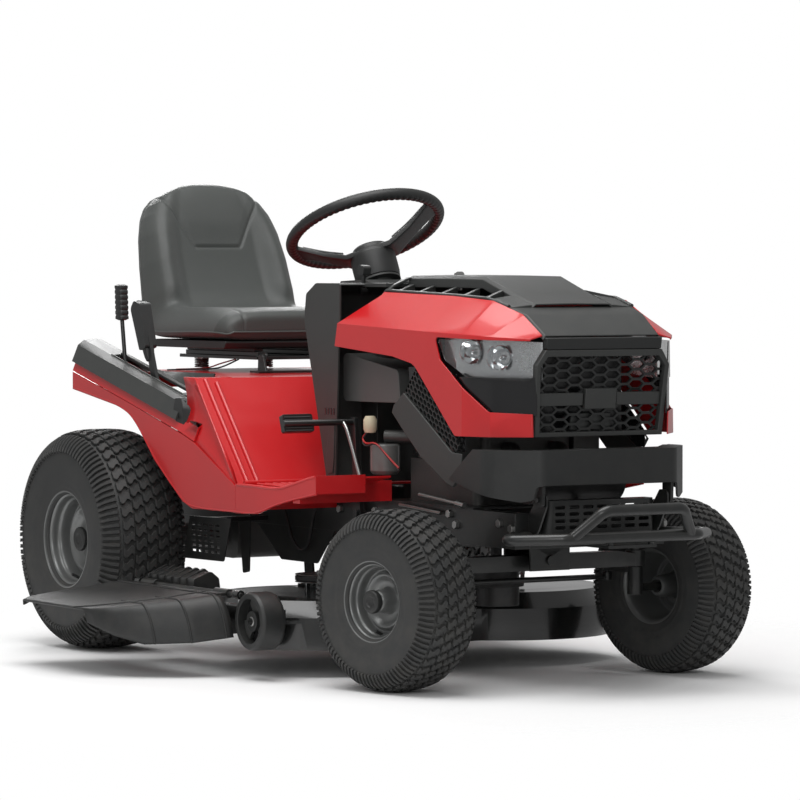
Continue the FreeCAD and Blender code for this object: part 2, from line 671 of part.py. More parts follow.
# ---- wheels -------------------------------------------------------------------------------
def tyre_profile(radius, width, bead):
    """Half-hollow tyre section: tread, shoulders, side walls and beads round an air space."""
    w = width / 2
    outer = [(bead, -w * 0.74), (bead + 12, -w * 0.84), ((radius + bead) / 2, -w, 18),
             (radius - 16, -w * 0.93, 10), (radius, -w * 0.66, 20), (radius, w * 0.66, 20),
             (radius - 16, w * 0.93, 10), ((radius + bead) / 2, w, 18), (bead + 12, w * 0.84),
             (bead, w * 0.74)]
    inner = [(bead, w * 0.62), (bead + 14, w * 0.72), ((radius + bead) / 2, w * 0.88, 18),
             (radius - 14, w * 0.66, 10), (radius - 14, -w * 0.66, 10),
             ((radius + bead) / 2, -w * 0.88, 18), (bead + 14, -w * 0.72), (bead, -w * 0.62)]
    return outer + inner


def rim(x, y, z, side, bead, width, hub_reach, bore):
    """Barrel between the beads, a disc towards the outside and a hub; t > 0 is outboard."""
    w = width / 2
    barrel = [(bead - 5, -w * 0.74), (bead, -w * 0.74), (bead, w * 0.74), (bead - 5, w * 0.74)]
    flange_out = [(bead - 5, w * 0.74), (bead, w * 0.74), (bead + 9, w * 0.86, 2),
                  (bead + 7, w * 0.90, 2), (bead - 5, w * 0.79, 2)]
    flange_in = [(r, -t) for r, t, *_ in flange_out]
    disc = [(bore, w * 0.18), (bead * 0.45, w * 0.18, 6), (bead * 0.72, w * 0.34, 8),
            (bead - 5, w * 0.22), (bead - 5, w * 0.29), (bead * 0.72, w * 0.42, 8),
            (bead * 0.45, w * 0.26, 6), (bore, w * 0.26)]
    hub = [(bore, -hub_reach[0]), (bore + 15, -hub_reach[0]), (bore + 15, hub_reach[1]),
           (bore, hub_reach[1])]
    solids = [turned_y(p, 0, 0, 0) for p in (barrel, flange_out, flange_in, disc, hub)]
    whole = fused(*solids)
    if side < 0:
        whole = mirrored(whole)
    whole.translate(vec(x, y, z))
    return whole


def front_tyre(side):
    profile = tyre_profile(FRONT_TYRE_R, FRONT_TYRE_W, FRONT_BEAD_R)
    return steered(turned_y(profile, WHEELBASE, side * FRONT_TRACK / 2, FRONT_TYRE_R), side)


def front_rim(side):
    whole = rim(WHEELBASE, side * FRONT_TRACK / 2, FRONT_TYRE_R, side, FRONT_BEAD_R,
                FRONT_TYRE_W, (48, 56), 9.5 + RUN_FIT)
    y = side * (FRONT_TRACK / 2 + 56)
    cap = rod((WHEELBASE, y, FRONT_TYRE_R), (WHEELBASE, y + side * 18, FRONT_TYRE_R), 24.5)
    recess = rod((WHEELBASE, y, FRONT_TYRE_R), (WHEELBASE, y + side * 12, FRONT_TYRE_R), 12)
    return steered(fused(whole, cap.cut(recess)), side)


def rear_tyre(side):
    profile = tyre_profile(REAR_TYRE_R, REAR_TYRE_W, REAR_BEAD_R)
    return turned_y(profile, 0, side * REAR_TRACK / 2, REAR_TYRE_R)


def rear_rim(side):
    whole = rim(0, side * REAR_TRACK / 2, REAR_TYRE_R, side, REAR_BEAD_R, REAR_TYRE_W,
                (112, 48), 9.5)
    shaft = rod((0, side * 20, REAR_TYRE_R), (0, side * 462, REAR_TYRE_R), 9.5)
    y = side * (REAR_TRACK / 2 + 48)
    cap = rod((0, y, REAR_TYRE_R), (0, y + side * 14, REAR_TYRE_R), 28)
    return fused(whole, shaft, cap)


# ---- hood ---------------------------------------------------------------------------------
HOOD_STATIONS = [  # x, half-width and height of: top edge, crease, lower edge
    (745, (172, 833), (236, 762), (238, 525)),
    (1138, (172, 824), (244, 749), (246, 525)),
    (1290, (168, 815), (246, 745), (248, 525)),
    (1375, (150, 787), (228, 741), (232, 525)),
    (1442, (147, 745), (178, 737), (170, 525)),
]


def hood_skin(inset, thickness):
    rows = []
    for x, *marks in HOOD_STATIONS:
        rows.append((x, [(-(half - inset), z - inset * 0.5) for half, z in marks][::-1]))
    return skin(rows, thickness)


def hood_side(side):
    side_view = [(752, 711), (763, 761), (855, 824), (863, 900), (1470, 900), (1470, 534),
                 (1262, 532, 20), (1092, 679, 60), (1000, 694)]
    panel = hood_skin(0, -3).common(prism_xz(side_view, -300, -100))
    opening = [(1178, 738, 8), (1470, 732), (1470, 580), (1368, 585, 20), (1200, 690, 20)]
    panel = panel.cut(prism_xz(opening, -300, -100))
    return panel if side < 0 else mirrored(panel)


def hood_sides():
    return Part.makeCompound([hood_side(-1), hood_side(1)])


def headlights():
    """Two wrap-round lamps, each a clear lens over a dark housing."""
    lens = hood_skin(6, -3).common(prism_xz([(1182, 734, 6), (1438, 728, 6), (1438, 650, 6),
                                             (1300, 655, 20), (1210, 690, 20)], -300, -100))
    return Part.makeCompound(both_sides(lens))


def headlight_housings():
    shell = hood_skin(11, -3).common(prism_xz([(1178, 738), (1422, 734), (1422, 576),
                                               (1350, 580), (1190, 690)], -300, -100))
    return Part.makeCompound(both_sides(shell))


def hood_top():
    rows = [(856, 172, 833, 108, 866), (1147, 172, 824, 104, 866), (1261, 169, 819, 102, 830),
            (1333, 160, 801, 102, 809), (1384, 148, 784, 100, 788), (1449, 144, 742, 100, 744)]
    stations = []
    for x, edge_y, edge_z, ridge_y, ridge_z_ in rows:
        edge_y -= 4.5
        stations.append((x, [(edge_y, edge_z), (ridge_y, ridge_z_), (-ridge_y, ridge_z_),
                             (-edge_y, edge_z)]))
    return skin(stations, 3)


def grille():
    outline = [(-160, 536, 8), (160, 536, 8), (166, 691, 6), (139, 736, 6), (-139, 736, 6),
               (-166, 691, 6)]
    window = [(-148, 550, 8), (148, 550, 8), (153, 687, 6), (131, 724, 6), (-131, 724, 6),
              (-153, 687, 6)]
    plate = prism_yz(outline, 1425, 1437).cut(prism_yz(window, 1420, 1440))
    slats = [block(1428, 1434, -160, 160, 560 + i * 16, 565 + i * 16) for i in range(10)]
    posts = [block(1426, 1428, -150 + i * 50, -146 + i * 50, 545, 730) for i in range(7)]
    inside = prism_yz(window, 1420, 1440)
    slats = [s.common(inside) for s in slats + posts]
    whole = fused(plate, *[s for s in slats if s.Volume > 1])
    return about(whole, (1425, 0, 536), Y_AXIS, 6.5)


def side_grilles():
    """Mesh panels behind the front wheels' tops, each with its slanted border strip."""
    window = [(1052, 612), (1096, 668), (1258, 530), (1262, 512)]
    panel = prism_xz([(1002, 580, 8), (1036, 614), (1092, 675), (1258, 528), (1300, 526),
                      (1320, 509), (1262, 509), (1237, 462, 6)], -243, -238)
    bars = []
    for i in range(12):
        x = 1040 + i * 20
        bars.append(prism_xz([(x, 500), (x + 6, 500), (x + 66, 680), (x + 60, 680)], -242, -239))
    opening = prism_xz(window, -260, -220)
    mesh = [b.common(opening) for b in bars]
    whole = fused(panel.cut(opening), *[m for m in mesh if m.Volume > 1])
    return Part.makeCompound(both_sides(whole))


def front_fascia():
    plan = [(1237, -246), (1387, -251, 60), (1478, -168, 30), (1478, 168, 30),
            (1387, 251, 60), (1237, 246)]
    inner = [(1230, -242), (1385, -247, 58), (1474, -166, 28), (1474, 166, 28),
             (1385, 247, 58), (1230, 242)]
    ring = prism_xy(plan, 395, 507).cut(prism_xy(inner, 380, 520))
    side_view = [(1236, 440), (1441, 400), (1462, 404, 10), (1468, 431), (1490, 440),
                 (1490, 507), (1335, 507), (1265, 462)]
    ring = ring.common(prism_xz(side_view, -260, 260))
    ring = ring.cut(block(1465, 1490, -166, 166, 390, 432))
    shelf_plan = [(1345, -245), (1387, -249, 58), (1476, -166, 28), (1476, 166, 28),
                  (1387, 249, 58), (1345, 245), (1345, 225), (1420, 160), (1420, -160),
                  (1345, -225)]
    shelf = prism_xy(shelf_plan, 503, 507)
    lugs = []
    for side in (-1, 1):
        low, high = sorted((side * 158, side * 165))
        lug = prism_xz([(1440, 390, 10), (1470, 390, 10), (1472, 440), (1474, 505),
                        (1440, 505)], low, high)
        lugs.append(lug.cut(rod((HOOD_HINGE[0], low - 1, HOOD_HINGE[1]),
                                (HOOD_HINGE[0], high + 1, HOOD_HINGE[1]), 6.0)))
    return fused(ring, shelf, *lugs)


# ---- seat ---------------------------------------------------------------------------------
def seat_frame():
    plate = block(-190, 184, -110, 110, 668, 676)
    rails = []
    for side in (-1, 1):
        low, high = sorted((side * 84, side * 104))
        rails.append(block(-170, 175, low, high, 676, 686))
    ears = []
    for side in (-1, 1):
        low, high = sorted((side * 95, side * 101))
        ear = prism_xz([(178, 676), (178, 668), (190, 661, 6), (212, 661, 10), (212, 684, 8),
                        (196, 684)], low, high)
        ears.append(ear.cut(rod((SEAT_HINGE[0], low - 1, SEAT_HINGE[1]),
                                (SEAT_HINGE[0], high + 1, SEAT_HINGE[1]), 6.0)))
    window = block(-120, 120, -60, 60, 660, 680)
    return fused(plate.cut(window), *rails, *ears)


def seat_hinge():
    """Fixed bracket on the body that the seat frame tilts on."""
    parts = [block(186, 232, -130, 130, 638.6, 643)]
    for side in (-1, 1):
        low, high = sorted((side * 104, side * 110))
        parts.append(prism_xz([(188, 642), (190, 680, 8), (212, 680, 8), (226, 642)], low, high))
        low, high = sorted((side * 94, side * 104))
        parts.append(rod((SEAT_HINGE[0], low, SEAT_HINGE[1]),
                         (SEAT_HINGE[0], high, SEAT_HINGE[1]), 6.0 - RUN_FIT))
    return fused(*parts)


def seat_springs():
    """Two coil springs between the seat frame and the body, as stacked rings."""
    parts = []
    for side in (-1, 1):
        centre = vec(-120, side * 88, 0)
        for i in range(4):
            parts.append(Part.makeTorus(15, 2.4, centre + vec(0, 0, 645 + i * 6.2)))
        parts.append(rod((-120, side * 88, 662), (-120, side * 88, 668), 17.5))
    shapes = []
    for side in (0, 1):
        shapes.append(Part.makeCompound(parts[side * 5:side * 5 + 5]))
    return Part.makeCompound(shapes)


def seat_pan():
    base = prism_xz([(-196, 694, 10), (176, 694, 10), (186, 712, 4), (-206, 712, 4)],
                    -192, 192)
    sliders = []
    for side in (-1, 1):
        low, high = sorted((side * 82, side * 106))
        sliders.append(block(-160, 165, low, high, 686.4, 694))
    return fused(base, *sliders)


def seat_cushion():
    side_view = [(-206, 712.3), (186, 712.3, 14), (198, 745, 16), (188, 790, 24), (60, 786),
                 (-206, 786)]
    front_view = [(-SEAT_HALF, 712, 20), (SEAT_HALF, 712, 20), (SEAT_HALF, 796, 30),
                  (-SEAT_HALF, 796, 30)]
    return prism_xz(side_view, -SEAT_HALF, SEAT_HALF).common(prism_yz(front_view, -240, 240))


def seat_back():
    side_view = [(-206, 786.3), (-110, 786.3, 8), (-178, 880), (-243, 1084, 24),
                 (REAR_END, 1080, 30), (-262, 860), (-222, 786.3)]
    front_view = [(-196, 780), (196, 780), (200, 860, 60), (140, 1088, 50), (-140, 1088, 50),
                  (-200, 860, 60)]
    return prism_xz(side_view, -SEAT_HALF, SEAT_HALF).common(prism_yz(front_view, -360, -60))


# ---- controls -----------------------------------------------------------------------------
def height_lever():
    """Fender lever, cross shaft and the two arms that lift the deck."""
    px, pz = LIFT_PIVOT
    shaft = rod((px, -388, pz), (px, 175, pz), 10.0)
    bar = prism_xz([(px - 14, pz - 10, 8), (px + 14, pz - 6, 8), (196, 640), (160, 735),
                    (144, 732), (172, 640)], -SLOT_Y - 4, -SLOT_Y + 4)
    grip = prism_xz([(171, 700, 6), (140, 692, 6), (96, 788, 14), (112, 806, 10),
                     (140, 800, 8)], -SLOT_Y - 15, -SLOT_Y + 15)
    arms = []
    for side in (-1, 1):
        low, high = sorted((side * 150, side * 156))
        arms.append(prism_xz([(px - 16, pz - 14, 8), (px - 16, pz + 14, 8),
                              (px + LIFT_ARM + 10, pz + 8, 7), (px + LIFT_ARM + 10, pz - 8, 7)],
                             low, high))
        low, high = sorted((side * 138, side * 150))
        arms.append(rod((px + LIFT_ARM, low, pz), (px + LIFT_ARM, high, pz), 5))
    return fused(shaft, bar, grip, *arms)


def drive_lever():
    px, pz = DRIVE_LEVER_PIVOT
    eye = rod((px, -392, pz), (px, -374, pz), 11)
    stem = rod((px - 1, -SLOT_Y, pz + 8), (27, -SLOT_Y, 762), 5)
    grip = prism_xz([(14, 760, 4), (40, 762, 4), (42, 842, 6), (4, 844, 6)],
                    -SLOT_Y - 13, -SLOT_Y + 13)
    return fused(eye, stem, grip).cut(rod((px, -400, pz), (px, -360, pz), 5.0 + RUN_FIT))


def pedal():
    px, pz = PEDAL_PIVOT
    arm = prism_xz([(px - 16, pz - 14, 12), (px + 16, pz - 14, 12), (796, 470), (790, 556, 8),
                    (768, 556, 8), (778, 470)], -208, -198)
    bar = rod((779, -199, 545), (779, -382, 545), 7)
    pad = prism_yz([(-382, 526, 5), (-306, 526, 5), (-306, 566, 5), (-382, 566, 5)], 765, 779)
    pad = about(pad, (779, 0, 545), Y_AXIS, -18)
    return fused(arm, bar, pad).cut(rod((px, -230, pz), (px, -180, pz), 8.0))


def throttle_lever():
    blade = prism_xz([(704, 838, 3), (714, 838, 3), (720, 872), (710, 872)], -140.5, -135.5)
    knob = prism_xz([(702, 868, 4), (726, 866, 4), (730, 886, 6), (704, 890, 6)], -148, -128)
    pivot = rod((709, -146, 832), (709, -130, 832), 7)
    return fused(blade, knob, pivot)


def ignition_key():
    barrel = rod((700, 120, 832), (700, 120, 853), 7.0 - RUN_FIT)
    bow = prism_yz([(108, 853, 4), (132, 853, 4), (134, 874, 8), (106, 874, 8)], 698.5, 701.5)
    return fused(barrel, bow)


# ---- mower deck ---------------------------------------------------------------------------
def deck_form(inset):
    """Outer or inner form of the deck: two lobes, a middle, a shoulder and two domes."""
    low, mid, top = DECK_Z
    radius = DECK_LOBE_R - inset
    shoulder = radius - 26
    parts = []
    for side in (-1, 1):
        y = side * BLADE_Y
        parts.append(turned_z([(0, low - inset * 4), (radius, low - inset * 4), (radius, mid),
                               (shoulder, top - inset), (0, top - inset)], DECK_X, y))
    half = radius - 64
    parts.append(prism_xz([(DECK_X - half, low - inset * 4), (DECK_X + half, low - inset * 4),
                           (DECK_X + half, mid), (DECK_X + half - 26, top - inset),
                           (DECK_X - half + 26, top - inset), (DECK_X - half, mid)],
                          -BLADE_Y, BLADE_Y))
    return fused(*parts)


def deck_shell():
    shell = deck_form(0).cut(deck_form(3))
    outlet = block(450, 800, -520, -400, 40, 150)
    shell = shell.cut(outlet)
    table = prism_xy([(330, HINGE_Y + 14), (800, HINGE_Y + 14), (800, -400), (640, -380),
                      (450, -400), (450, -430), (330, -455)], 150, 154)
    ears = [rod((x, HINGE_Y, HINGE_Z), (x + 20, HINGE_Y, HINGE_Z), 10) for x in (330, 780)]
    lugs = [block(x, x + 20, HINGE_Y + 4, HINGE_Y + 14, 150, HINGE_Z) for x in (330, 780)]
    bores = [rod((x - 5, HINGE_Y, HINGE_Z), (x + 30, HINGE_Y, HINGE_Z), 5.0)
             for x in (330, 780)]
    parts = [shell, table.cut(deck_form(3.1))] + ears + lugs
    for side in (-1, 1):
        y = side * BLADE_Y
        parts.append(pipe_ring((DECK_X, y, DECK_Z[2] - 1), (DECK_X, y, 188), 36, 20))
        wx, _, wz = SCALP_WHEEL
        low, high = sorted((side * 438, side * 446))
        parts.append(block(wx - 40, wx + 12, *sorted((side * 380, side * 446)), 118, 124))
        parts.append(block(wx - 40, wx + 12, low, high, 112, 150))
        parts.append(rod((wx, side * 440, wz), (wx, side * 520, wz), 8.0 - RUN_FIT))
    whole = fused(*parts)
    cuts = list(bores)
    for side in (-1, 1):
        y = side * BLADE_Y
        cuts.append(rod((DECK_X, y, 60), (DECK_X, y, 190), SPINDLE_R + RUN_FIT))
    return whole.cut(cuts)


def deck_fittings():
    """Lift straps standing on the deck, each slotted round the lift arm's pin, and a cover."""
    x, z = LIFT_PIVOT[0] + LIFT_ARM, LIFT_PIVOT[1]
    parts = []
    for side in (-1, 1):
        low, high = sorted((side * 140, side * 146))
        strap = prism_xz([(x + 24, DECK_Z[2]), (x + 60, DECK_Z[2]), (x + 52, 230), (x + 18, 360),
                          (x + 18, z + 12, 10), (x - 18, z + 12, 10), (x - 18, 360),
                          (x + 16, 230)], low, high)
        slot = prism_xz([(x - 12, z - 6, 5.5), (x + 12, z - 6, 5.5), (x + 12, z + 6, 5.5),
                         (x - 12, z + 6, 5.5)], low - 1, high + 1)
        foot = block(x + 24, x + 60, *sorted((side * 120, side * 166)), DECK_Z[2], 169)
        parts.append(fused(strap.cut(slot), foot))
    parts.append(hinge_cover())
    return Part.makeCompound(parts)


def blade(side):
    """Blade bar with raised wing tips, its spindle shaft and its pulley."""
    y = side * BLADE_Y
    bar = block(DECK_X - BLADE_R + 40, DECK_X + BLADE_R - 40, y - 27, y + 27, 84, 89)
    tips = []
    for end in (-1, 1):
        x0, x1 = sorted((DECK_X + end * (BLADE_R - 40), DECK_X + end * (BLADE_R - 2)))
        tips.append(block(x0, x1, y - 27, y + 27, 84, 89))
        wing_low, wing_high = sorted((y - end * 27, y - end * 18))
        tips.append(block(x0, x1, wing_low, wing_high, 89, 101))
    boss = rod((DECK_X, y, 76), (DECK_X, y, 100), 24)
    shaft = rod((DECK_X, y, 72), (DECK_X, y, 214), SPINDLE_R)
    pulley = turned_z([(0, 189.5), (60, 189.5), (60, 191.5), (50, 192.5), (50, 204.5),
                       (60, 205.5), (60, 207.5), (0, 207.5)], DECK_X, y)
    return fused(bar, boss, shaft, pulley, *tips)


def blade_belt():
    centres = [(DECK_X, -BLADE_Y), (CRANK_X, 0), (DECK_X, BLADE_Y)]
    return belt_band(centres, 60, 194, 203).cut(belt_band(centres, 50.8, 194, 203))


def deflector():
    """Moulded discharge chute cover that hinges up from the deck's right edge."""
    slope_drop = 34
    plan = [(300, -523), (788, -523, 10), (760, -610, 40), (600, -778, 60), (262, -778, 40)]
    top = prism_xy(plan, HINGE_Z - 2, HINGE_Z + 3)
    wall_line = [(790, -523), (752, -600), (676, -640), (585, -700), (560, -760)]
    wall = prism_xy(thin_section(wall_line, 4), HINGE_Z - 92, HINGE_Z - 2)
    ribs = [block(x, x + 6, -770, -530, HINGE_Z - 20, HINGE_Z - 2) for x in (300, 390, 480)]
    body = fused(top, wall, *ribs)
    tilt = math.degrees(math.atan2(slope_drop, 255))
    body = about(body, (0, HINGE_Y - 20, HINGE_Z), X_AXIS, tilt)
    knuckles = [rod((x, HINGE_Y, HINGE_Z), (x + 60, HINGE_Y, HINGE_Z), 10) for x in (360, 690)]
    webs = [block(x, x + 60, -532, HINGE_Y - 6, HINGE_Z - 4, HINGE_Z + 2) for x in (360, 690)]
    pin = rod((326, HINGE_Y, HINGE_Z), (803, HINGE_Y, HINGE_Z), 5.0 - RUN_FIT)
    return fused(body, pin, *knuckles, *webs)


def hinge_cover():
    """Ribbed moulding over the rear end of the deflector's hinge, fixed to the deck."""
    body = prism_yz([(-484, 154), (-484, 196, 8), (-440, 212, 10), (-420, 196, 8), (-414, 154)],
                    345, 560)
    ribs = [prism_yz([(-484, 160), (-488, 196, 3), (-440, 217, 5), (-418, 200, 3), (-416, 160)],
                     352 + i * 34, 360 + i * 34) for i in range(6)]
    return fused(body, *ribs).cut(deck_form(-0.4))


def scalp_wheel(side):
    x, y, z = SCALP_WHEEL
    profile = [(8.0, -22), (22, -22), (22, -4), (48, -4), (48, -29), (SCALP_R - 4, -29, 3),
               (SCALP_R, -22, 6), (SCALP_R, 22, 6), (SCALP_R - 4, 29, 3), (48, 29), (48, 4),
               (22, 4), (22, 22), (8.0, 22)]
    return turned_y(profile, x, side * y, z)


# ---- all nodes ----------------------------------------------------------------------------
def all_nodes():
    nodes = {
        "frame": frame(), "front_bumper": front_bumper(), "muffler_guard": muffler_guard(),
        "body_rear": body_rear(), "footboards": footboards(),
        "fender_trims": fender_trims(),
        "dash_console": dash_console(), "engine_block": engine_block(),
        "engine_shroud": engine_shroud(), "muffler": muffler(), "oil_filter": oil_filter(),
        "fuel_tank": fuel_tank(), "fuel_cap": fuel_cap(), "battery": battery(),
        "transaxle": transaxle(), "transaxle_pulley": transaxle_pulley(),
        "engine_pulley": engine_pulley(), "drive_belt": drive_belt(),
        "steering_wheel": steering_wheel(),
        "steering_pinion": steering_pinion(), "sector_gear": sector_gear(),
        "drag_link": drag_link(), "tie_rod": tie_rod(), "front_axle": front_axle(),
        "headlights": headlights(), "headlight_housings": headlight_housings(),
        "hood_sides": hood_sides(), "hood_top": hood_top(), "grille": grille(),
        "side_grilles": side_grilles(),
        "front_fascia": front_fascia(), "seat_frame": seat_frame(), "seat_hinge": seat_hinge(),
        "seat_springs": seat_springs(), "seat_pan": seat_pan(), "seat_cushion": seat_cushion(),
        "seat_back": seat_back(), "height_lever": height_lever(), "drive_lever": drive_lever(),
        "pedal": pedal(), "throttle_lever": throttle_lever(), "ignition_key": ignition_key(),
        "deck_shell": deck_shell(), "deck_fittings": deck_fittings(), "blade_belt": blade_belt(),
        "deflector": deflector(),
    }
    for name, side in (("right", -1), ("left", 1)):
        nodes["knuckle_" + name] = knuckle(side)
        nodes["front_tyre_" + name] = front_tyre(side)
        nodes["front_rim_" + name] = front_rim(side)
        nodes["rear_tyre_" + name] = rear_tyre(side)
        nodes["rear_rim_" + name] = rear_rim(side)
        nodes["blade_" + name] = blade(side)
        nodes["scalp_wheel_" + name] = scalp_wheel(side)
    return nodes


def main():
    os.makedirs("parts", exist_ok=True)
    for name, shape in all_nodes().items():
        placed = shape.copy()
        placed.translate(vec(-ORIGIN[0], -ORIGIN[1], -ORIGIN[2]))
        placed.exportStep("parts/" + name + ".step")
        if not placed.isValid():
            print("not valid:", name)


main()
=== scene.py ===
# %% [markdown]
# # A riding lawn mower, dressed for a picture
#
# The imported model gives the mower's size, its moving bodies and a plain solid for each part.
# This notebook gives every part the surface of the real one. All shapes are worked out in
# millimetres, measured from the middle of the rear axle on the ground: X forward, Y to the
# driver's left, Z up. One helper moves them to the frame's own metres.

# %% Load the frame
import json
import math
import bmesh
import bpy
import numpy as np
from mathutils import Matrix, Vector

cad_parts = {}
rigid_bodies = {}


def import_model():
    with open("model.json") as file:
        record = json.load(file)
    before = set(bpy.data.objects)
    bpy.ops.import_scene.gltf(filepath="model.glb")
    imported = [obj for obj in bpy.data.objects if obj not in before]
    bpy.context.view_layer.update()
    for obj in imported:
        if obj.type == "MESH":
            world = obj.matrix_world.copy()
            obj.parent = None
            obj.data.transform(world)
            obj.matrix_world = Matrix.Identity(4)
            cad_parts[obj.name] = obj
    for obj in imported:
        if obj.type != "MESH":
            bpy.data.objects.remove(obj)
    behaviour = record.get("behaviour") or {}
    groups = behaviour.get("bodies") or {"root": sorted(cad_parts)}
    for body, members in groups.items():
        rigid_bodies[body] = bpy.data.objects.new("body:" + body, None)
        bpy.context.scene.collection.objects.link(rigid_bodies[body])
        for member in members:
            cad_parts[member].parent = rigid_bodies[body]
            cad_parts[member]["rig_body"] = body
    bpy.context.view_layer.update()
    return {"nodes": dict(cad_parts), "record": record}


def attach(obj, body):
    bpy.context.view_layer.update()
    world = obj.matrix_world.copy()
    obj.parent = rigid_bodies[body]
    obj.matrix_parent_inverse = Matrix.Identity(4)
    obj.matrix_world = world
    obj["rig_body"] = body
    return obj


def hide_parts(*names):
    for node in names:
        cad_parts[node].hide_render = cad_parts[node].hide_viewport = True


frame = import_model()

# %% [markdown]
# ## The camera
#
# The mower is seen from its front right, from a low stand a long way off, so the camera has a
# long lens. A long lens from far away keeps parallel edges nearly parallel. The camera comes
# first because every later choice of detail is judged through it.

# %% Camera
CAMERA_PLACE = (8.153, -4.8755, 0.903)
CAMERA_TURN = (math.radians(88.10), 0.0, math.radians(58.47))
camera = bpy.data.objects.new("camera", bpy.data.cameras.new("camera"))
bpy.context.scene.collection.objects.link(camera)
camera.location = CAMERA_PLACE
camera.rotation_euler = CAMERA_TURN
camera.data.lens = 191.8
camera.data.sensor_width = 36.0
camera.data.clip_end = 60.0
bpy.context.scene.camera = camera
print("camera lens", round(camera.data.lens, 1))

# %% [markdown]
# ## Studio
#
# A plain pale floor and a white surround stand for a studio cove. One large lamp hangs
# over the machine, one stands by the camera and one behind, so that glossy plastic shows long
# soft highlights and black parts keep a lit edge. The floor fades out around the machine, so
# no horizon shows, and the surround is brighter to look at than the light it gives.

# %% Floor, surround and lamps
FLOOR_SIZE = 60.0
FLOOR_SEEN, FLOOR_GONE = 0.9, 1.7    # metres from the middle: solid, then faded out
SURROUND_LIGHT, SURROUND_SEEN = 0.40, 1.0    # what it sheds, and what the camera sees


def add_lamp(name, place, aim, size, power):
    """A square area lamp that points from its place to its aim."""
    lamp = bpy.data.objects.new(name, bpy.data.lights.new(name, "AREA"))
    lamp.data.size = size
    lamp.data.energy = power
    bpy.context.scene.collection.objects.link(lamp)
    lamp.location = place
    away = np.array(aim, float) - np.array(place, float)
    lamp.rotation_euler = Vector(away).to_track_quat("-Z", "Y").to_euler()
    return lamp


def add_floor():
    """One square sheet at height zero that fades out around the mower."""
    half = FLOOR_SIZE / 2
    mesh = bpy.data.meshes.new("floor")
    corners = [(-half, -half, 0), (half, -half, 0), (half, half, 0), (-half, half, 0)]
    mesh.from_pydata(corners, [], [(0, 1, 2, 3)])
    floor = bpy.data.objects.new("floor", mesh)
    bpy.context.scene.collection.objects.link(floor)
    paint = bpy.data.materials.new("floor paint")
    paint.use_nodes = True
    tree = paint.node_tree
    shader = tree.nodes["Principled BSDF"]
    shader.inputs["Base Color"].default_value = (0.92, 0.92, 0.92, 1)
    shader.inputs["Roughness"].default_value = 0.9
    spot = tree.nodes.new("ShaderNodeTexCoord")
    reach = tree.nodes.new("ShaderNodeVectorMath")
    reach.operation = "LENGTH"
    fade = tree.nodes.new("ShaderNodeMapRange")
    fade.interpolation_type = "SMOOTHSTEP"
    fade.inputs["From Min"].default_value = FLOOR_SEEN
    fade.inputs["From Max"].default_value = FLOOR_GONE
    fade.inputs["To Min"].default_value = 1.0
    fade.inputs["To Max"].default_value = 0.0
    tree.links.new(spot.outputs["Object"], reach.inputs[0])
    tree.links.new(reach.outputs["Value"], fade.inputs["Value"])
    tree.links.new(fade.outputs["Result"], shader.inputs["Alpha"])
    mesh.materials.append(paint)
    return floor


world = bpy.data.worlds.new("studio")
world.use_nodes = True
sky = world.node_tree
surround = sky.nodes["Background"]
surround.inputs["Color"].default_value = (1.0, 1.0, 1.0, 1)
rays = sky.nodes.new("ShaderNodeLightPath")
strength = sky.nodes.new("ShaderNodeMapRange")
strength.inputs["To Min"].default_value = SURROUND_LIGHT
strength.inputs["To Max"].default_value = SURROUND_SEEN
sky.links.new(rays.outputs["Is Camera Ray"], strength.inputs["Value"])
sky.links.new(strength.outputs["Result"], surround.inputs["Strength"])
bpy.context.scene.world = world
add_floor()
add_lamp("overhead", (0.4, -0.6, 3.2), (0.1, 0.0, 0.5), 2.6, 88.0)
add_lamp("camera side", (4.2, -3.4, 2.2), (0.2, 0.0, 0.5), 1.8, 46.0)
add_lamp("behind", (-3.2, 1.2, 2.4), (0.0, 0.0, 0.6), 1.6, 60.0)
bpy.context.scene.view_settings.view_transform = "Standard"

# %% [markdown]
# ## Making meshes from arrays
#
# A shape here is a table of points, worked out as whole arrays, and a table of faces that
# joins them. Keeping the two apart lets one small function join, place and finish any shape.

# %% Points and faces
ORIGIN = np.array([641.0, -126.5, 0.0])


def placed(points):
    """Millimetres from the rear axle to metres in the frame: the origin is taken away, and the
    rest is divided by 1000."""
    return (np.asarray(points, float) - ORIGIN) / 1000.0


def grid_faces(rows, columns, ring=False, loop=False):
    """Four-sided faces of a grid of points, row by row. A ring joins each row's end to its
    start, and a loop joins the last row to the first."""
    i = np.arange(rows if loop else rows - 1)[:, None]
    j = np.arange(columns if ring else columns - 1)[None, :]
    down, right = (i + 1) % rows, (j + 1) % columns
    corners = [i * columns + j, down * columns + j, down * columns + right, i * columns + right]
    return np.stack(corners, -1).reshape(-1, 4).tolist()


def loft(rows, loop=False):
    """Closed skin over a stack of closed outlines: rows is an array (outline, point, xyz).
    Neighbouring outlines are joined point to point, and flat caps close the two ends."""
    rows = np.asarray(rows, float)
    count, around = rows.shape[:2]
    faces = grid_faces(count, around, ring=True, loop=loop)
    if not loop:
        faces.append(list(range(around))[::-1])
        faces.append(list(range((count - 1) * around, count * around)))
    return rows.reshape(-1, 3), faces


def joined(*forms):
    """Several (points, faces) as one: the faces of each count on from the points before it."""
    points, faces, start = [], [], 0
    for form_points, form_faces in forms:
        points.append(np.asarray(form_points, float))
        faces += [[k + start for k in face] for face in form_faces]
        start += len(form_points)
    return np.concatenate(points), faces


def moved(form, shift):
    """The form shifted by one vector."""
    return form[0] + np.asarray(shift, float), form[1]


def mirrored(form):
    """The form's mirror image across the middle plane: Y changes sign and faces turn over."""
    return form[0] * np.array([1, -1, 1]), [face[::-1] for face in form[1]]


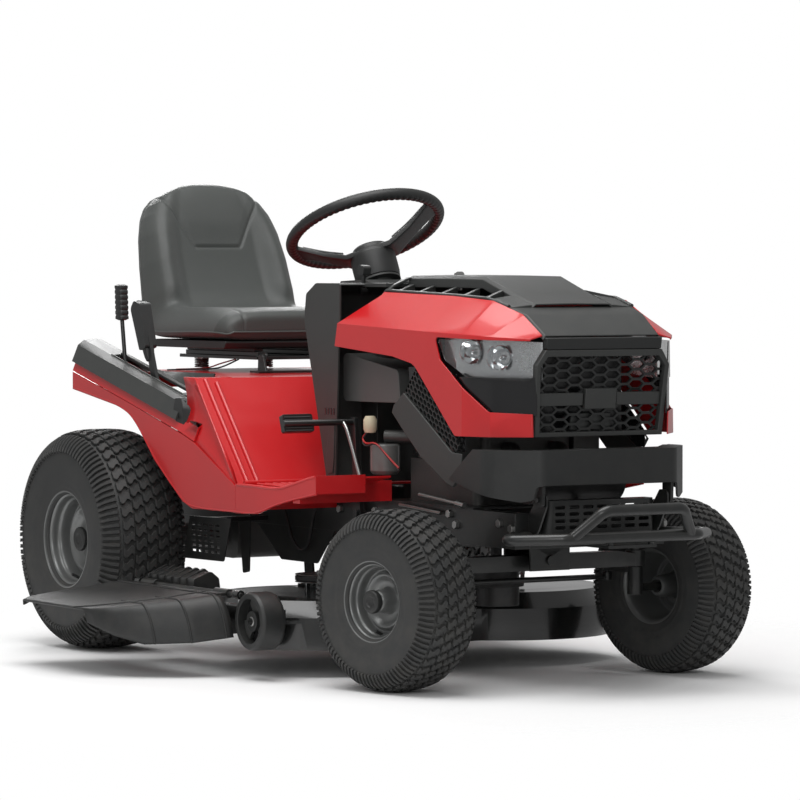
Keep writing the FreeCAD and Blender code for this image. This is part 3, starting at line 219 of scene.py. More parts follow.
def spun(points, degrees, axis, about=(0, 0, 0)):
    """Points turned about a line parallel to X, Y or Z, by the usual sine and cosine."""
    points = np.array(points, float) - about
    c, s = math.cos(math.radians(degrees)), math.sin(math.radians(degrees))
    a, b = {"x": (1, 2), "y": (2, 0), "z": (0, 1)}[axis]
    first, second = points[..., a].copy(), points[..., b].copy()
    points[..., a], points[..., b] = first * c - second * s, first * s + second * c
    return points + about


def turned_form(form, degrees, axis, about=(0, 0, 0)):
    """A form turned about a line parallel to X, Y or Z."""
    return spun(form[0], degrees, axis, about), form[1]


print("origin", ORIGIN.tolist())

# %% [markdown]
# Four kinds of shape make nearly everything on a machine: a section turned round an axis, a
# section carried along a path, a flat outline given a thickness, and a sheet with a wall.


# %% Turned, swept, cut and rounded shapes
def smoothed(points, passes=2, closed=False):
    """Corners cut off again and again: each pass puts two points on every side, at a quarter
    and at three quarters of it, and drops the old corners. Open ends stay where they are."""
    points = np.asarray(points, float)
    for _ in range(passes):
        after = np.roll(points, -1, axis=0) if closed else points[1:]
        before = points if closed else points[:-1]
        near, far = before * 0.75 + after * 0.25, before * 0.25 + after * 0.75
        middle = np.stack([near, far], 1).reshape(-1, points.shape[1])
        points = middle if closed else np.concatenate([points[:1], middle, points[-1:]])
    return points


def turned(section, centre=(0, 0, 0), axis="y", steps=64):
    """Surface of revolution: the section is (distance along the axis, radius), closed on
    itself, and each of its points runs round a circle of its own radius."""
    section = np.asarray(section, float)
    angle = np.linspace(0, 2 * math.pi, steps, endpoint=False)[:, None]
    along = np.broadcast_to(section[None, :, 0], (steps, len(section)))
    first, second = np.cos(angle) * section[:, 1], np.sin(angle) * section[:, 1]
    order = {"y": (second, along, first), "z": (first, second, along),
             "x": (along, first, second)}[axis]
    rows = np.stack(order, -1) + np.asarray(centre, float)
    return rows.reshape(-1, 3), grid_faces(steps, len(section), ring=True, loop=True)


def run_frames(path, closed=False):
    """Direction and two cross directions at each point of a path. The cross directions are
    the up vector made square to the path, so a section carried along it does not twist."""
    path = np.asarray(path, float)
    if closed:
        ahead = np.roll(path, -1, 0) - np.roll(path, 1, 0)
    else:
        ahead = np.gradient(path, axis=0)
    ahead /= np.linalg.norm(ahead, axis=1, keepdims=True)
    up = np.array([0.0, 0.0, 1.0]) if np.abs(ahead[:, 2]).max() < 0.98 else np.array([0.2, 1, 0])
    side = np.cross(ahead, up)
    side /= np.linalg.norm(side, axis=1, keepdims=True)
    return ahead, side, np.cross(side, ahead)


def swept(path, radius, sides=12, closed=False, flat=1.0):
    """Round bar along a path: at each point a circle square to the path. The radius is one
    number or one per point, and flat squeezes the circle's height."""
    path = np.asarray(path, float)
    _, side, up = run_frames(path, closed)
    radius = np.broadcast_to(np.asarray(radius, float), (len(path),))[:, None, None]
    turn = np.linspace(0, 2 * math.pi, sides, endpoint=False)[None, :, None]
    rows = path[:, None] + radius * (np.cos(turn) * side[:, None]
                                     + flat * np.sin(turn) * up[:, None])
    return loft(rows, loop=closed)


def slab(outline, low, high, axis="y"):
    """Flat outline with a thickness. The outline lies across the axis: (x, z) for y, (x, y)
    for z and (y, z) for x, and its two copies stand at low and high."""
    outline = np.asarray(outline, float)
    level = np.array([low, high])[:, None] * np.ones(len(outline))
    first = np.broadcast_to(outline[:, 0], level.shape)
    second = np.broadcast_to(outline[:, 1], level.shape)
    order = {"y": (first, level, second), "z": (first, second, level),
             "x": (level, first, second)}[axis]
    return loft(np.stack(order, -1))


def brick(x0, x1, y0, y1, z0, z1):
    """Six-sided block between two corners."""
    return slab([(x0, y0), (x1, y0), (x1, y1), (x0, y1)], z0, z1, axis="z")


def between(start, end, radius, sides=16):
    """Straight round bar from one point to another."""
    return swept(np.array([start, end], float), radius, sides)


print("shape helpers ready")

# %% [markdown]
# ## From a form to a piece
#
# A piece is an object at the origin whose mesh is already in its place. It rides on one body
# of the frame, so it moves with that body at every pose. Small bevels on hard edges matter as
# much as the shape: a real moulding has no knife edges, and the bevel catches the light.

# %% Pieces
FINISHES = {}


def finish_mesh(mesh, angle):
    """Smooth shading inside faces that meet at less than the angle, a crisp edge elsewhere."""
    mesh.shade_smooth()
    mesh.set_sharp_from_angle(angle=math.radians(angle))


def add_modifiers(piece, bevel, wall, subdivide, segments=2):
    """Optional wall thickness, rounded edges and subdivision, the same shown and rendered."""
    if wall:
        solid = piece.modifiers.new("wall", "SOLIDIFY")
        solid.thickness = wall / 1000.0
        solid.offset = -1.0
    if bevel:
        round_over = piece.modifiers.new("edges", "BEVEL")
        round_over.width = bevel / 1000.0
        round_over.segments = segments
        round_over.limit_method = "ANGLE"
        round_over.angle_limit = math.radians(28)
        round_over.harden_normals = False
    if subdivide:
        finer = piece.modifiers.new("finer", "SUBSURF")
        finer.levels = finer.render_levels = subdivide


def piece(name, form, body, finish, slot, replaces=(), bevel=0.0, smooth=35, wall=0.0,
          subdivide=0):
    """An object from (points, faces): doubles merged, faces outwards, then dressed."""
    points, faces = form
    mesh = bpy.data.meshes.new(name)
    mesh.from_pydata(placed(points).tolist(), [], faces)
    work = bmesh.new()
    work.from_mesh(mesh)
    bmesh.ops.remove_doubles(work, verts=work.verts, dist=2e-6)
    bmesh.ops.recalc_face_normals(work, faces=work.faces)
    work.to_mesh(mesh)
    work.free()
    finish_mesh(mesh, smooth)
    made = bpy.data.objects.new(name, mesh)
    bpy.context.scene.collection.objects.link(made)
    mesh.materials.append(FINISHES[finish])
    add_modifiers(made, bevel, wall, subdivide)
    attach(made, body)
    if replaces:
        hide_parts(*replaces)
    return made


def softened(node, finish, bevel=1.5, smooth=35):
    """A copy of a frame node with its triangles merged into whole faces and its edges rounded.
    The copy stands for the node."""
    source = frame["nodes"][node]
    mesh = source.data.copy()
    mesh.name = node + "_soft"
    mesh.materials.clear()
    work = bmesh.new()
    work.from_mesh(mesh)
    bmesh.ops.remove_doubles(work, verts=work.verts, dist=1e-5)
    bmesh.ops.dissolve_limit(work, angle_limit=math.radians(0.4), verts=work.verts,
                             edges=work.edges)
    work.to_mesh(mesh)
    work.free()
    finish_mesh(mesh, smooth)
    made = bpy.data.objects.new(node + "_soft", mesh)
    bpy.context.scene.collection.objects.link(made)
    mesh.materials.append(FINISHES[finish])
    add_modifiers(made, bevel, 0, 0)
    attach(made, source["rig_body"])
    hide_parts(node)
    return made


NODE_SLOT = {part["node"]: part["material_slot"] for part in frame["record"]["subparts"]}
print("nodes with a slot", len(NODE_SLOT))

# %% [markdown]
# ## Effects that several finishes share
#
# Dust, fine grain and slow colour drift turn up on every surface of a garden machine, only in
# different amounts. Each is built once as a group of nodes with named inputs. A group gives a
# mask or a height, and each finish decides what to do with it.


# %% Groups for grain, drift and dust
def node_group(name, inputs, outputs):
    """An empty shader group with number inputs and outputs, and its two end nodes."""
    group = bpy.data.node_groups.new(name, "ShaderNodeTree")
    for label, value in inputs:
        socket = group.interface.new_socket(label, in_out="INPUT", socket_type="NodeSocketFloat")
        socket.default_value = value
    for label in outputs:
        group.interface.new_socket(label, in_out="OUTPUT", socket_type="NodeSocketFloat")
    return group, group.nodes.new("NodeGroupInput"), group.nodes.new("NodeGroupOutput")


def math_node(tree, operation, first, second=None, clamp=False):
    """One arithmetic node whose inputs are sockets or plain numbers."""
    node = tree.nodes.new("ShaderNodeMath")
    node.operation = operation
    node.use_clamp = clamp
    for socket, value in zip(node.inputs, (first, second)):
        if value is None:
            continue
        if isinstance(value, (int, float)):
            socket.default_value = value
        else:
            tree.links.new(value, socket)
    return node.outputs[0]


def noise_node(tree, place, scale, detail=3.0, rough=0.55):
    """Noise at a scale that is a number or a socket, read at a place."""
    node = tree.nodes.new("ShaderNodeTexNoise")
    node.inputs["Detail"].default_value = detail
    node.inputs["Roughness"].default_value = rough
    if isinstance(scale, (int, float)):
        node.inputs["Scale"].default_value = scale
    else:
        tree.links.new(scale, node.inputs["Scale"])
    tree.links.new(place, node.inputs["Vector"])
    return node.outputs["Fac"]


def build_grain():
    """Fine moulded texture: small round pits over a soft noise."""
    group, start, end = node_group("moulded grain", [("Scale", 900.0)], ["Height"])
    place = group.nodes.new("ShaderNodeTexCoord").outputs["Object"]
    pits = group.nodes.new("ShaderNodeTexVoronoi")
    group.links.new(place, pits.inputs["Vector"])
    group.links.new(start.outputs["Scale"], pits.inputs["Scale"])
    soft = noise_node(group, place, math_node(group, "MULTIPLY", start.outputs["Scale"], 0.6))
    total = math_node(group, "ADD", math_node(group, "MULTIPLY", pits.outputs["Distance"], 0.6),
                      soft)
    group.links.new(total, end.inputs["Height"])
    return group


def build_drift():
    """Slow patches a hand wide, with a little fine speckle, between 0 and 1."""
    group, start, end = node_group("colour drift", [("Scale", 7.0)], ["Mask"])
    place = group.nodes.new("ShaderNodeTexCoord").outputs["Object"]
    wide = noise_node(group, place, start.outputs["Scale"], 4.0)
    fine = noise_node(group, place, math_node(group, "MULTIPLY", start.outputs["Scale"], 22.0))
    total = math_node(group, "ADD", math_node(group, "MULTIPLY", wide, 0.75),
                      math_node(group, "MULTIPLY", fine, 0.25))
    group.links.new(total, end.inputs["Mask"])
    return group


def build_dust():
    """Dust lies where the surface looks up, broken by noise, and thicker near the ground."""
    group, start, end = node_group("settled dust", [("Low", 0.0), ("High", 0.5)], ["Mask"])
    geometry = group.nodes.new("ShaderNodeNewGeometry")
    normal = group.nodes.new("ShaderNodeSeparateXYZ")
    group.links.new(geometry.outputs["Normal"], normal.inputs["Vector"])
    facing = math_node(group, "MULTIPLY", math_node(group, "ADD", normal.outputs["Z"], 0.35),
                       0.74, clamp=True)
    coords = group.nodes.new("ShaderNodeTexCoord").outputs["Object"]
    split = group.nodes.new("ShaderNodeSeparateXYZ")
    group.links.new(coords, split.inputs["Vector"])
    lift = math_node(group, "SUBTRACT", start.outputs["High"], split.outputs["Z"])
    span = math_node(group, "SUBTRACT", start.outputs["High"], start.outputs["Low"])
    near = math_node(group, "DIVIDE", lift, span, clamp=True)
    patches = noise_node(group, coords, 26.0, 6.0, 0.65)
    sharp = math_node(group, "MULTIPLY", math_node(group, "SUBTRACT", patches, 0.38), 3.0,
                      clamp=True)
    both = math_node(group, "ADD", math_node(group, "MULTIPLY", facing, 0.6),
                     math_node(group, "MULTIPLY", near, 0.7))
    group.links.new(math_node(group, "MULTIPLY", both, sharp, clamp=True), end.inputs["Mask"])
    return group


def build_wear():
    """Rubbed edges: where a rounded normal leaves the flat one, broken by fine noise."""
    group, start, end = node_group("rubbed edges", [("Width", 0.003)], ["Mask"])
    rounded = group.nodes.new("ShaderNodeBevel")
    rounded.samples = 4
    group.links.new(start.outputs["Width"], rounded.inputs["Radius"])
    flat = group.nodes.new("ShaderNodeNewGeometry")
    alike = group.nodes.new("ShaderNodeVectorMath")
    alike.operation = "DOT_PRODUCT"
    group.links.new(rounded.outputs["Normal"], alike.inputs[0])
    group.links.new(flat.outputs["True Normal"], alike.inputs[1])
    edge = math_node(group, "MULTIPLY", math_node(group, "SUBTRACT", 0.985,
                                                  alike.outputs["Value"]), 7.0, clamp=True)
    place = group.nodes.new("ShaderNodeTexCoord").outputs["Object"]
    rub = math_node(group, "MULTIPLY", math_node(group, "SUBTRACT",
                    noise_node(group, place, 55.0, 5.0, 0.7), 0.44), 5.0, clamp=True)
    group.links.new(math_node(group, "MULTIPLY", edge, rub), end.inputs["Mask"])
    return group


GRAIN, DRIFT, DUST, WEAR = build_grain(), build_drift(), build_dust(), build_wear()
print("groups", [g.name for g in (GRAIN, DRIFT, DUST, WEAR)])

# %% [markdown]
# ## Finishes
#
# A finish is one material. All of them share a plan: a colour that drifts slightly, dust mixed
# over it, a roughness that varies with both, and a fine bump. What tells glossy red plastic
# from satin black steel is the numbers, and a coat of lacquer where there is one.


# %% The plan of a finish
def mixed(tree, mask, first, second):
    """Colour between two colours or sockets, by a mask."""
    node = tree.nodes.new("ShaderNodeMix")
    node.data_type = "RGBA"
    tree.links.new(mask, node.inputs["Factor"])
    sockets = [s for s in node.inputs if s.type == "RGBA"]
    for socket, value in zip(sockets, (first, second)):
        if isinstance(value, tuple):
            socket.default_value = (*value, 1)
        else:
            tree.links.new(value, socket)
    return [s for s in node.outputs if s.type == "RGBA"][0]


def use_group(tree, group, **values):
    """A group placed in a material, with its inputs set. Returns its first output."""
    node = tree.nodes.new("ShaderNodeGroup")
    node.node_tree = group
    for label, value in values.items():
        node.inputs[label].default_value = value
    return node.outputs[0]


def stretched(tree, mask, low, high):
    """A mask from 0 to 1 mapped to the span from low to high."""
    node = tree.nodes.new("ShaderNodeMapRange")
    tree.links.new(mask, node.inputs["Value"])
    node.inputs["To Min"].default_value = low
    node.inputs["To Max"].default_value = high
    return node.outputs["Result"]


DUST_COLOUR = (0.23, 0.205, 0.17)
BUMP_HEIGHT = 0.001
COAT_ROUGHNESS = 0.08
WEAR_WIDTH = 0.0025
DRIFT_SCALE = 7.0


def finish(name, colour, rough, drift=0.12, metal=0.0, coat=0.0, grain=(900.0, 0.02),
           dust=0.12, dust_top=0.5, wear=0.0, wear_colour=(0.35, 0.35, 0.34), spread=0.07):
    """One opaque finish from the shared plan. Grain is (scale, strength of the bump)."""
    paint = bpy.data.materials.new(name)
    paint.use_nodes = True
    tree = paint.node_tree
    shader = tree.nodes["Principled BSDF"]
    patches = use_group(tree, DRIFT, Scale=DRIFT_SCALE)
    deep = tuple(c * (1 - drift) for c in colour)
    pale = tuple(min(1.0, c * (1 + drift)) for c in colour)
    base = mixed(tree, stretched(tree, patches, -0.6, 1.6), deep, pale)
    if wear:
        rubbed = math_node(tree, "MULTIPLY", use_group(tree, WEAR, Width=WEAR_WIDTH), wear)
        base = mixed(tree, rubbed, base, wear_colour)
    dusty = math_node(tree, "MULTIPLY", use_group(tree, DUST, Low=0.0, High=dust_top), dust)
    base = mixed(tree, dusty, base, DUST_COLOUR)
    tree.links.new(base, shader.inputs["Base Color"])
    roughness = stretched(tree, patches, rough - spread, rough + spread)
    roughness = math_node(tree, "ADD", roughness, math_node(tree, "MULTIPLY", dusty, 0.5),
                          clamp=True)
    tree.links.new(roughness, shader.inputs["Roughness"])
    bump = tree.nodes.new("ShaderNodeBump")
    bump.inputs["Strength"].default_value = grain[1]
    bump.inputs["Distance"].default_value = BUMP_HEIGHT
    tree.links.new(use_group(tree, GRAIN, Scale=grain[0]), bump.inputs["Height"])
    tree.links.new(bump.outputs["Normal"], shader.inputs["Normal"])
    shader.inputs["Metallic"].default_value = metal
    shader.inputs["Coat Weight"].default_value = coat
    shader.inputs["Coat Roughness"].default_value = COAT_ROUGHNESS
    FINISHES[name] = paint
    return paint


finish("red moulding", (0.56, 0.010, 0.013), 0.30, drift=0.05, coat=0.35, grain=(420, 0.03),
       dust=0.0315, spread=0.03)
finish("grey moulding", (0.036, 0.038, 0.037), 0.46, drift=0.08, grain=(700, 0.22), dust=0.072,
       dust_top=0.9)
finish("black moulding", (0.016, 0.017, 0.017), 0.46, drift=0.1, grain=(700, 0.18), dust=0.063,
       dust_top=0.7)
finish("frame paint", (0.012, 0.013, 0.013), 0.33, coat=0.15, grain=(260, 0.05), dust=0.099,
       wear=0.5, wear_colour=(0.12, 0.12, 0.12))
finish("deck paint", (0.010, 0.011, 0.011), 0.20, coat=0.5, grain=(160, 0.05), dust=0.072,
       dust_top=0.22, wear=0.4, wear_colour=(0.10, 0.10, 0.10))
finish("tyre rubber", (0.030, 0.031, 0.031), 0.66, drift=0.14, grain=(520, 0.25), dust=0.135,
       dust_top=0.5)
finish("rim paint", (0.175, 0.18, 0.178), 0.34, drift=0.05, metal=0.45, coat=0.2,
       grain=(300, 0.03), dust=0.072)
finish("cast engine", (0.10, 0.10, 0.098), 0.48, metal=0.7, grain=(260, 0.35), dust=0.135)
finish("engine black", (0.022, 0.022, 0.023), 0.42, grain=(500, 0.2), dust=0.113, dust_top=0.9)
finish("filter paint", (0.16, 0.165, 0.16), 0.30, coat=0.3, dust=0.113)
finish("tank moulding", (0.085, 0.088, 0.086), 0.42, grain=(420, 0.15), dust=0.063, dust_top=0.9)
finish("bare steel", (0.42, 0.42, 0.41), 0.32, metal=1.0, grain=(300, 0.10), dust=0.113)
finish("belt rubber", (0.020, 0.020, 0.021), 0.72, grain=(900, 0.3), dust=0.158)
finish("battery case", (0.016, 0.016, 0.017), 0.40, grain=(500, 0.1), dust=0.135, dust_top=0.9)
# This finish is the lamps' own black and also painted shade: black sheets behind the grille, the
# side meshes, the hood and dash slots and the scalp wheel spokes stand for the shade there.
finish("lamp black and painted shade", (0.010, 0.010, 0.011), 0.22, grain=(300, 0.02), dust=0.0225)
finish("lamp mirror", (0.80, 0.81, 0.82), 0.10, metal=1.0, grain=(200, 0.01), dust=0.0135,
       spread=0.03)
finish("lamp silver", (0.55, 0.56, 0.57), 0.26, metal=0.85, grain=(300, 0.02), dust=0.0135)
finish("pale rail", (0.36, 0.37, 0.36), 0.45, grain=(600, 0.1), dust=0.054)
finish("red wire", (0.45, 0.02, 0.02), 0.4, grain=(600, 0.05), dust=0.09)
finish("cream plastic", (0.62, 0.54, 0.38), 0.45, grain=(500, 0.1), dust=0.09)
print("finishes", len(FINISHES))

# %% [markdown]
# Two finishes need a plan of their own. Seat vinyl has leather grain: wandering creases round
# small soft cells. A lamp lens is clear, and only its thickness and its gloss show.


# %% Vinyl and clear lens
def vinyl_finish(name, colour):
    """Embossed vinyl: cells of a warped Voronoi pattern raised between fine creases."""
    finish(name, colour, 0.46, drift=0.10, grain=(1300, 0.1), dust=0.027, dust_top=1.4)
    tree = FINISHES[name].node_tree
    shader = tree.nodes["Principled BSDF"]
    place = tree.nodes.new("ShaderNodeTexCoord").outputs["Object"]
    warp = tree.nodes.new("ShaderNodeTexNoise")
    warp.inputs["Scale"].default_value = 140.0
    tree.links.new(place, warp.inputs["Vector"])
    nudge = tree.nodes.new("ShaderNodeVectorMath")
    nudge.operation = "MULTIPLY_ADD"
    tree.links.new(warp.outputs["Color"], nudge.inputs[0])
    nudge.inputs[1].default_value = (0.004, 0.004, 0.004)
    tree.links.new(place, nudge.inputs[2])
    cells = tree.nodes.new("ShaderNodeTexVoronoi")
    cells.feature = "DISTANCE_TO_EDGE"
    cells.inputs["Scale"].default_value = 330.0
    tree.links.new(nudge.outputs[0], cells.inputs["Vector"])
    height = math_node(tree, "MULTIPLY", cells.outputs["Distance"], 6.0, clamp=True)
    bump = tree.nodes.new("ShaderNodeBump")
    bump.inputs["Strength"].default_value = 0.35
    bump.inputs["Distance"].default_value = 0.0006
    tree.links.new(height, bump.inputs["Height"])
    tree.links.new(bump.outputs["Normal"], shader.inputs["Normal"])
    shader.inputs["Sheen Weight"].default_value = 0.12
    return FINISHES[name]


def lens_finish(name):
    """Clear plastic whose gloss drifts a little from patch to patch."""
    glass = bpy.data.materials.new(name)
    glass.use_nodes = True
    tree = glass.node_tree
    shader = tree.nodes["Principled BSDF"]
    shader.inputs["Base Color"].default_value = (0.97, 0.98, 0.98, 1)
    shader.inputs["Transmission Weight"].default_value = 1.0
    shader.inputs["IOR"].default_value = 1.35
    veil = use_group(tree, DRIFT, Scale=30.0)
    tree.links.new(stretched(tree, veil, 0.0, 0.06), shader.inputs["Roughness"])
    FINISHES[name] = glass
    return glass


vinyl_finish("seat vinyl", (0.050, 0.055, 0.052))
lens_finish("clear lens")
print("last finishes", FINISHES["seat vinyl"].name, FINISHES["clear lens"].name)

# %% [markdown]
# ## Turf tyres
#
# A turf tyre has a fat rounded section and hundreds of small S-shaped blocks, set in staggered
# columns, with a comb of narrow blocks on each shoulder. A displaced grid would need a very
# fine mesh for crisp block edges, so the carcass is one smooth surface of revolution and each
# block is its own small wavy prism laid on it.

# %% Tyre section
FRONT_WHEEL = {"radius": 190.5, "width": 152.0, "bead": 78.0, "depth": 6.0, "pitches": 46,
               "columns": 4}
REAR_WHEEL = {"radius": 254.0, "width": 210.0, "bead": 104.0, "depth": 8.0, "pitches": 50,
              "columns": 5}
RING_RISE, RING_GAPS = 1.3, (9, 22, 40)    # height of a side-wall ring, distances off the bead


def tyre_half(wheel, radius):
    """From the crown to the bead: a superellipse down to the widest point (the power makes it
    squarer than a circle), then a quarter ellipse in to the bead."""
    half = wheel["width"] / 2
    middle = (radius + wheel["bead"]) / 2 - 6
    a = np.linspace(math.pi / 2, 0, 40)
    upper = np.stack([half * np.cos(a) ** 0.62, middle + (radius - middle) * np.sin(a) ** 0.62],
                     -1)
    b = np.linspace(0, math.pi / 2, 18)[1:]
    lower = np.stack([half - half * 0.22 * (1 - np.cos(b)),
                      middle - (middle - wheel["bead"]) * np.sin(b)], -1)
    return np.concatenate([upper, lower])


def tyre_section(wheel):
    """Closed tyre section: outer half, its mirror image, and a straight inner wall. Three fine
    raised rings run round each side wall."""
    half = tyre_half(wheel, wheel["radius"] - wheel["depth"])
    rings = sum(np.exp(-((half[:, 1] - wheel["bead"] - gap) / 1.6) ** 2) for gap in RING_GAPS)
    on_side = half[:, :1] > wheel["width"] * 0.3
    half = half + np.stack([rings * RING_RISE, 0 * rings], -1) * on_side
    other = half[::-1] * np.array([-1, 1])
    return np.concatenate([other[:-1], half])


def section_line(wheel):
    """Distance along the carcass section from the crown, with place and outward normal."""
    half = tyre_half(wheel, wheel["radius"] - wheel["depth"])
    whole = np.concatenate([half[::-1][:-1] * np.array([-1, 1]), half])
    step = np.linalg.norm(np.diff(whole, axis=0), axis=1)
    along = np.concatenate([[0], np.cumsum(step)])
    along -= along[len(along) // 2]
    ahead = np.gradient(whole, axis=0)
    normal = np.stack([-ahead[:, 1], ahead[:, 0]], -1)
    normal /= np.linalg.norm(normal, axis=1, keepdims=True)
    return along, whole, normal


print("front tyre section points", len(tyre_section(FRONT_WHEEL)))

# %% [markdown]
# A block's outline is a wave: its two long sides follow one sine, a block's width apart. The
# outline is repeated at three heights, a little smaller at the top, so each block has sloped
# sides and is a closed solid of a few dozen faces.


# %% Tread blocks
def block_outline(half_long, half_wide, wave):
    """Closed outline (across, around): two sine lines, half a block width each side."""
    q = np.linspace(-1, 1, 7)
    mid = wave * np.sin(math.pi * q)
    upper = np.stack([q * half_long, mid + half_wide], -1)
    lower = np.stack([q[::-1] * half_long, mid[::-1] - half_wide], -1)
    return np.concatenate([upper, lower])


def tread_blocks(wheel, places, outline, height):
    """Every block at once: places are (across, turn). Each outline point is laid on the carcass
    by its distance along the section, lifted along the normal, and turned round the axle."""
    along, line, normal = section_line(wheel)
    levels = np.array([[-1.5, 1.0], [height * 0.8, 0.95], [height, 0.86]])
    places = np.asarray(places, float)
    local = outline[None, None] * levels[None, :, 1, None, None]
    across = places[:, 0, None, None] + local[..., 0]
    lift = np.broadcast_to(levels[None, :, 0, None], across.shape)
    spot = [np.interp(across, along, column) for column in (line[:, 0], line[:, 1],
                                                            normal[:, 0], normal[:, 1])]
    side = spot[0] + spot[2] * lift
    out = spot[1] + spot[3] * lift
    turn = places[:, 1, None, None] + local[..., 1] / wheel["radius"]
    points = np.stack([out * np.sin(turn), side, out * np.cos(turn)], -1)
    forms = grid_faces(3, len(outline), ring=True)
    size = 3 * len(outline)
    ends = [list(range(len(outline)))[::-1], list(range(2 * len(outline), size))]
    one = forms + ends
    faces = [[k + n * size for k in face] for n in range(len(places)) for face in one]
    return points.reshape(-1, 3), faces


def tread(wheel):
    """Staggered columns of wavy blocks, and a comb of straight ones on both shoulders."""
    half = wheel["width"] / 2
    span = half * 1.36
    step = span / wheel["columns"]
    pitch = 2 * math.pi / wheel["pitches"]
    turn = np.arange(wheel["pitches"]) * pitch
    places = [(-span / 2 + step * (c + 0.5), t + (c % 2) * pitch / 2)
              for c in range(wheel["columns"]) for t in turn]
    wide = pitch * wheel["radius"]
    middle = tread_blocks(wheel, places, block_outline(step * 0.46, wide * 0.30, wide * 0.20),
                          wheel["depth"])
    comb_turn = np.arange(wheel["pitches"] * 2) * pitch / 2
    comb = [(side * (span / 2 + half * 0.27), t) for side in (-1, 1) for t in comb_turn]
    edge = tread_blocks(wheel, comb, block_outline(half * 0.235, wide * 0.145, 0.0),
                        wheel["depth"] * 0.82)
    return joined(middle, edge)


print("front tread faces", len(tread(FRONT_WHEEL)[1]))

# %% [markdown]
# The rim is pressed steel: a rolled lip outside, a stepped barrel and a dished disc, with a
# plain hub and a black cap. It is one section turned round the axle, its corners cut twice so
# that every bend is rolled and not sharp.


# %% Rims and caps
def rim_section(bead, half, hub_in, hub_out, bore):
    """Closed rim section as (distance outboard, radius), from hub to lip and back."""
    outer = [(hub_out, bore), (hub_out, bore + 15), (half * 0.26, bore + 16),
             (half * 0.26, bead * 0.46), (half * 0.30, bead * 0.56), (half * 0.44, bead * 0.68),
             (half * 0.42, bead * 0.74), (half * 0.30, bead * 0.80), (half * 0.32, bead * 0.87),
             (half * 0.56, bead * 0.885), (half * 0.60, bead * 0.945), (half * 0.76, bead * 0.955),
             (half * 0.80, bead * 1.03), (half * 0.85, bead + 9), (half * 0.905, bead + 9),
             (half * 0.90, bead + 5), (half * 0.86, bead + 5)]
    inner = [(half * 0.76, bead - 0.5), (-half * 0.76, bead - 0.5), (-half * 0.86, bead + 7),
             (-half * 0.89, bead + 6), (-half * 0.80, bead - 5), (-half * 0.2, bead - 6),
             (half * 0.20, bead * 0.82), (half * 0.20, bead * 0.76), (half * 0.32, bead * 0.70),
             (half * 0.18, bead * 0.54), (half * 0.18, bore + 16), (-hub_in, bore + 15),
             (-hub_in, bore)]
    return smoothed(outer + inner, 2, closed=True)


def cap_section(face, radius, height):
    """Domed hub cap: a straight skirt, a rolled edge and a shallow dish in its middle."""
    return smoothed([(face, 0.0), (face, radius), (face + height * 0.8, radius),
                     (face + height, radius * 0.86), (face + height, radius * 0.5),
                     (face + height * 0.75, radius * 0.40), (face + height * 0.75, 0.0)], 2)


def wheel_set(name, wheel, centre, side, body, rest_turn=0.0, pivot=(0, 0, 0), hub=(48, 56),
              cap=(24.5, 17.5), bore=9.6):
    """Carcass, tread, rim, cap and valve of one wheel, placed and turned to where it stands."""
    def stood(form):
        form = mirrored(form) if side < 0 else form
        return turned_form(moved(form, centre), rest_turn, "z", pivot)

    half = wheel["width"] / 2
    piece(f"{name}_carcass", stood(turned(tyre_section(wheel), steps=128)), body, "tyre rubber",
          "tyre", smooth=50, replaces=[name.replace("wheel", "tyre")])
    piece(f"{name}_tread", stood(tread(wheel)), body, "tyre rubber", "tyre", smooth=30)
    section = rim_section(wheel["bead"], half, hub[0], hub[1], bore)
    piece(f"{name}_rim", stood(turned(section, steps=96)), body, "rim paint", "rim_paint",
          smooth=40, replaces=[name.replace("wheel", "rim")])
    piece(f"{name}_cap", stood(turned(cap_section(hub[1], cap[0], cap[1]), steps=48)), body,
          "black moulding", "black_plastic", smooth=40)
    stem = between((0, half * 0.50, -wheel["bead"] * 0.90), (0, half * 0.74, -wheel["bead"] * 0.78),
                   3.4, 12)
    piece(f"{name}_valve", stood(stem), body, "black moulding", "black_plastic")


KINGPIN = 255.0
STEERED = 11.4
for side, word in ((-1, "right"), (1, "left")):
    wheel_set(f"front_wheel_{word}", FRONT_WHEEL, (1200.0, side * 370.0, 190.5), side,
              f"front_wheel_{word}", STEERED, (1200.0, side * KINGPIN, 0.0))
    wheel_set(f"rear_wheel_{word}", REAR_WHEEL, (0.0, side * 420.0, 254.0), side,
              f"rear_wheel_{word}", hub=(112, 48), cap=(28.0, 13.5), bore=0.0)
print("wheels dressed")

# %% [markdown]
# ## The seat
#
# The seat is one moulded bucket: foam in a vinyl skin, with raised sides, a rolled front lip
# and a sewn panel in the back. Seen from the side it is a bent L. So its surface is worked out
# from two curves, the upper face and the underside, both running from the front lip to the top
# of the back. Across the seat the two faces draw together at the edges, where a welt runs.

# %% Two curves of the seat
SEAT_UPPER = np.array([(196, 746), (195, 768), (176, 784), (110, 788), (20, 780), (-60, 774),
                       (-116, 780), (-146, 806), (-172, 860), (-196, 925), (-220, 1000),
                       (-240, 1052), (-256, 1077), (-276, 1084)], float)
SEAT_UNDER = np.array([(192, 728), (184, 716), (160, 713), (90, 713), (0, 713), (-100, 713),
                       (-180, 713), (-212, 726), (-236, 790), (-254, 860), (-280, 940),
                       (-304, 1020), (-316, 1060), (-306, 1078)], float)
SEAT_WIDTH_AT = np.array([(0.0, 176), (0.03, 192), (0.08, 202), (0.30, 204), (0.45, 203),
                          (0.58, 201), (0.70, 197), (0.80, 188), (0.88, 174), (0.93, 158),
                          (0.965, 136), (0.985, 112), (1.0, 84)])
ACROSS_COUNT, ALONG_COUNT = 150, 220
CORNER_SEAM_Y = 148


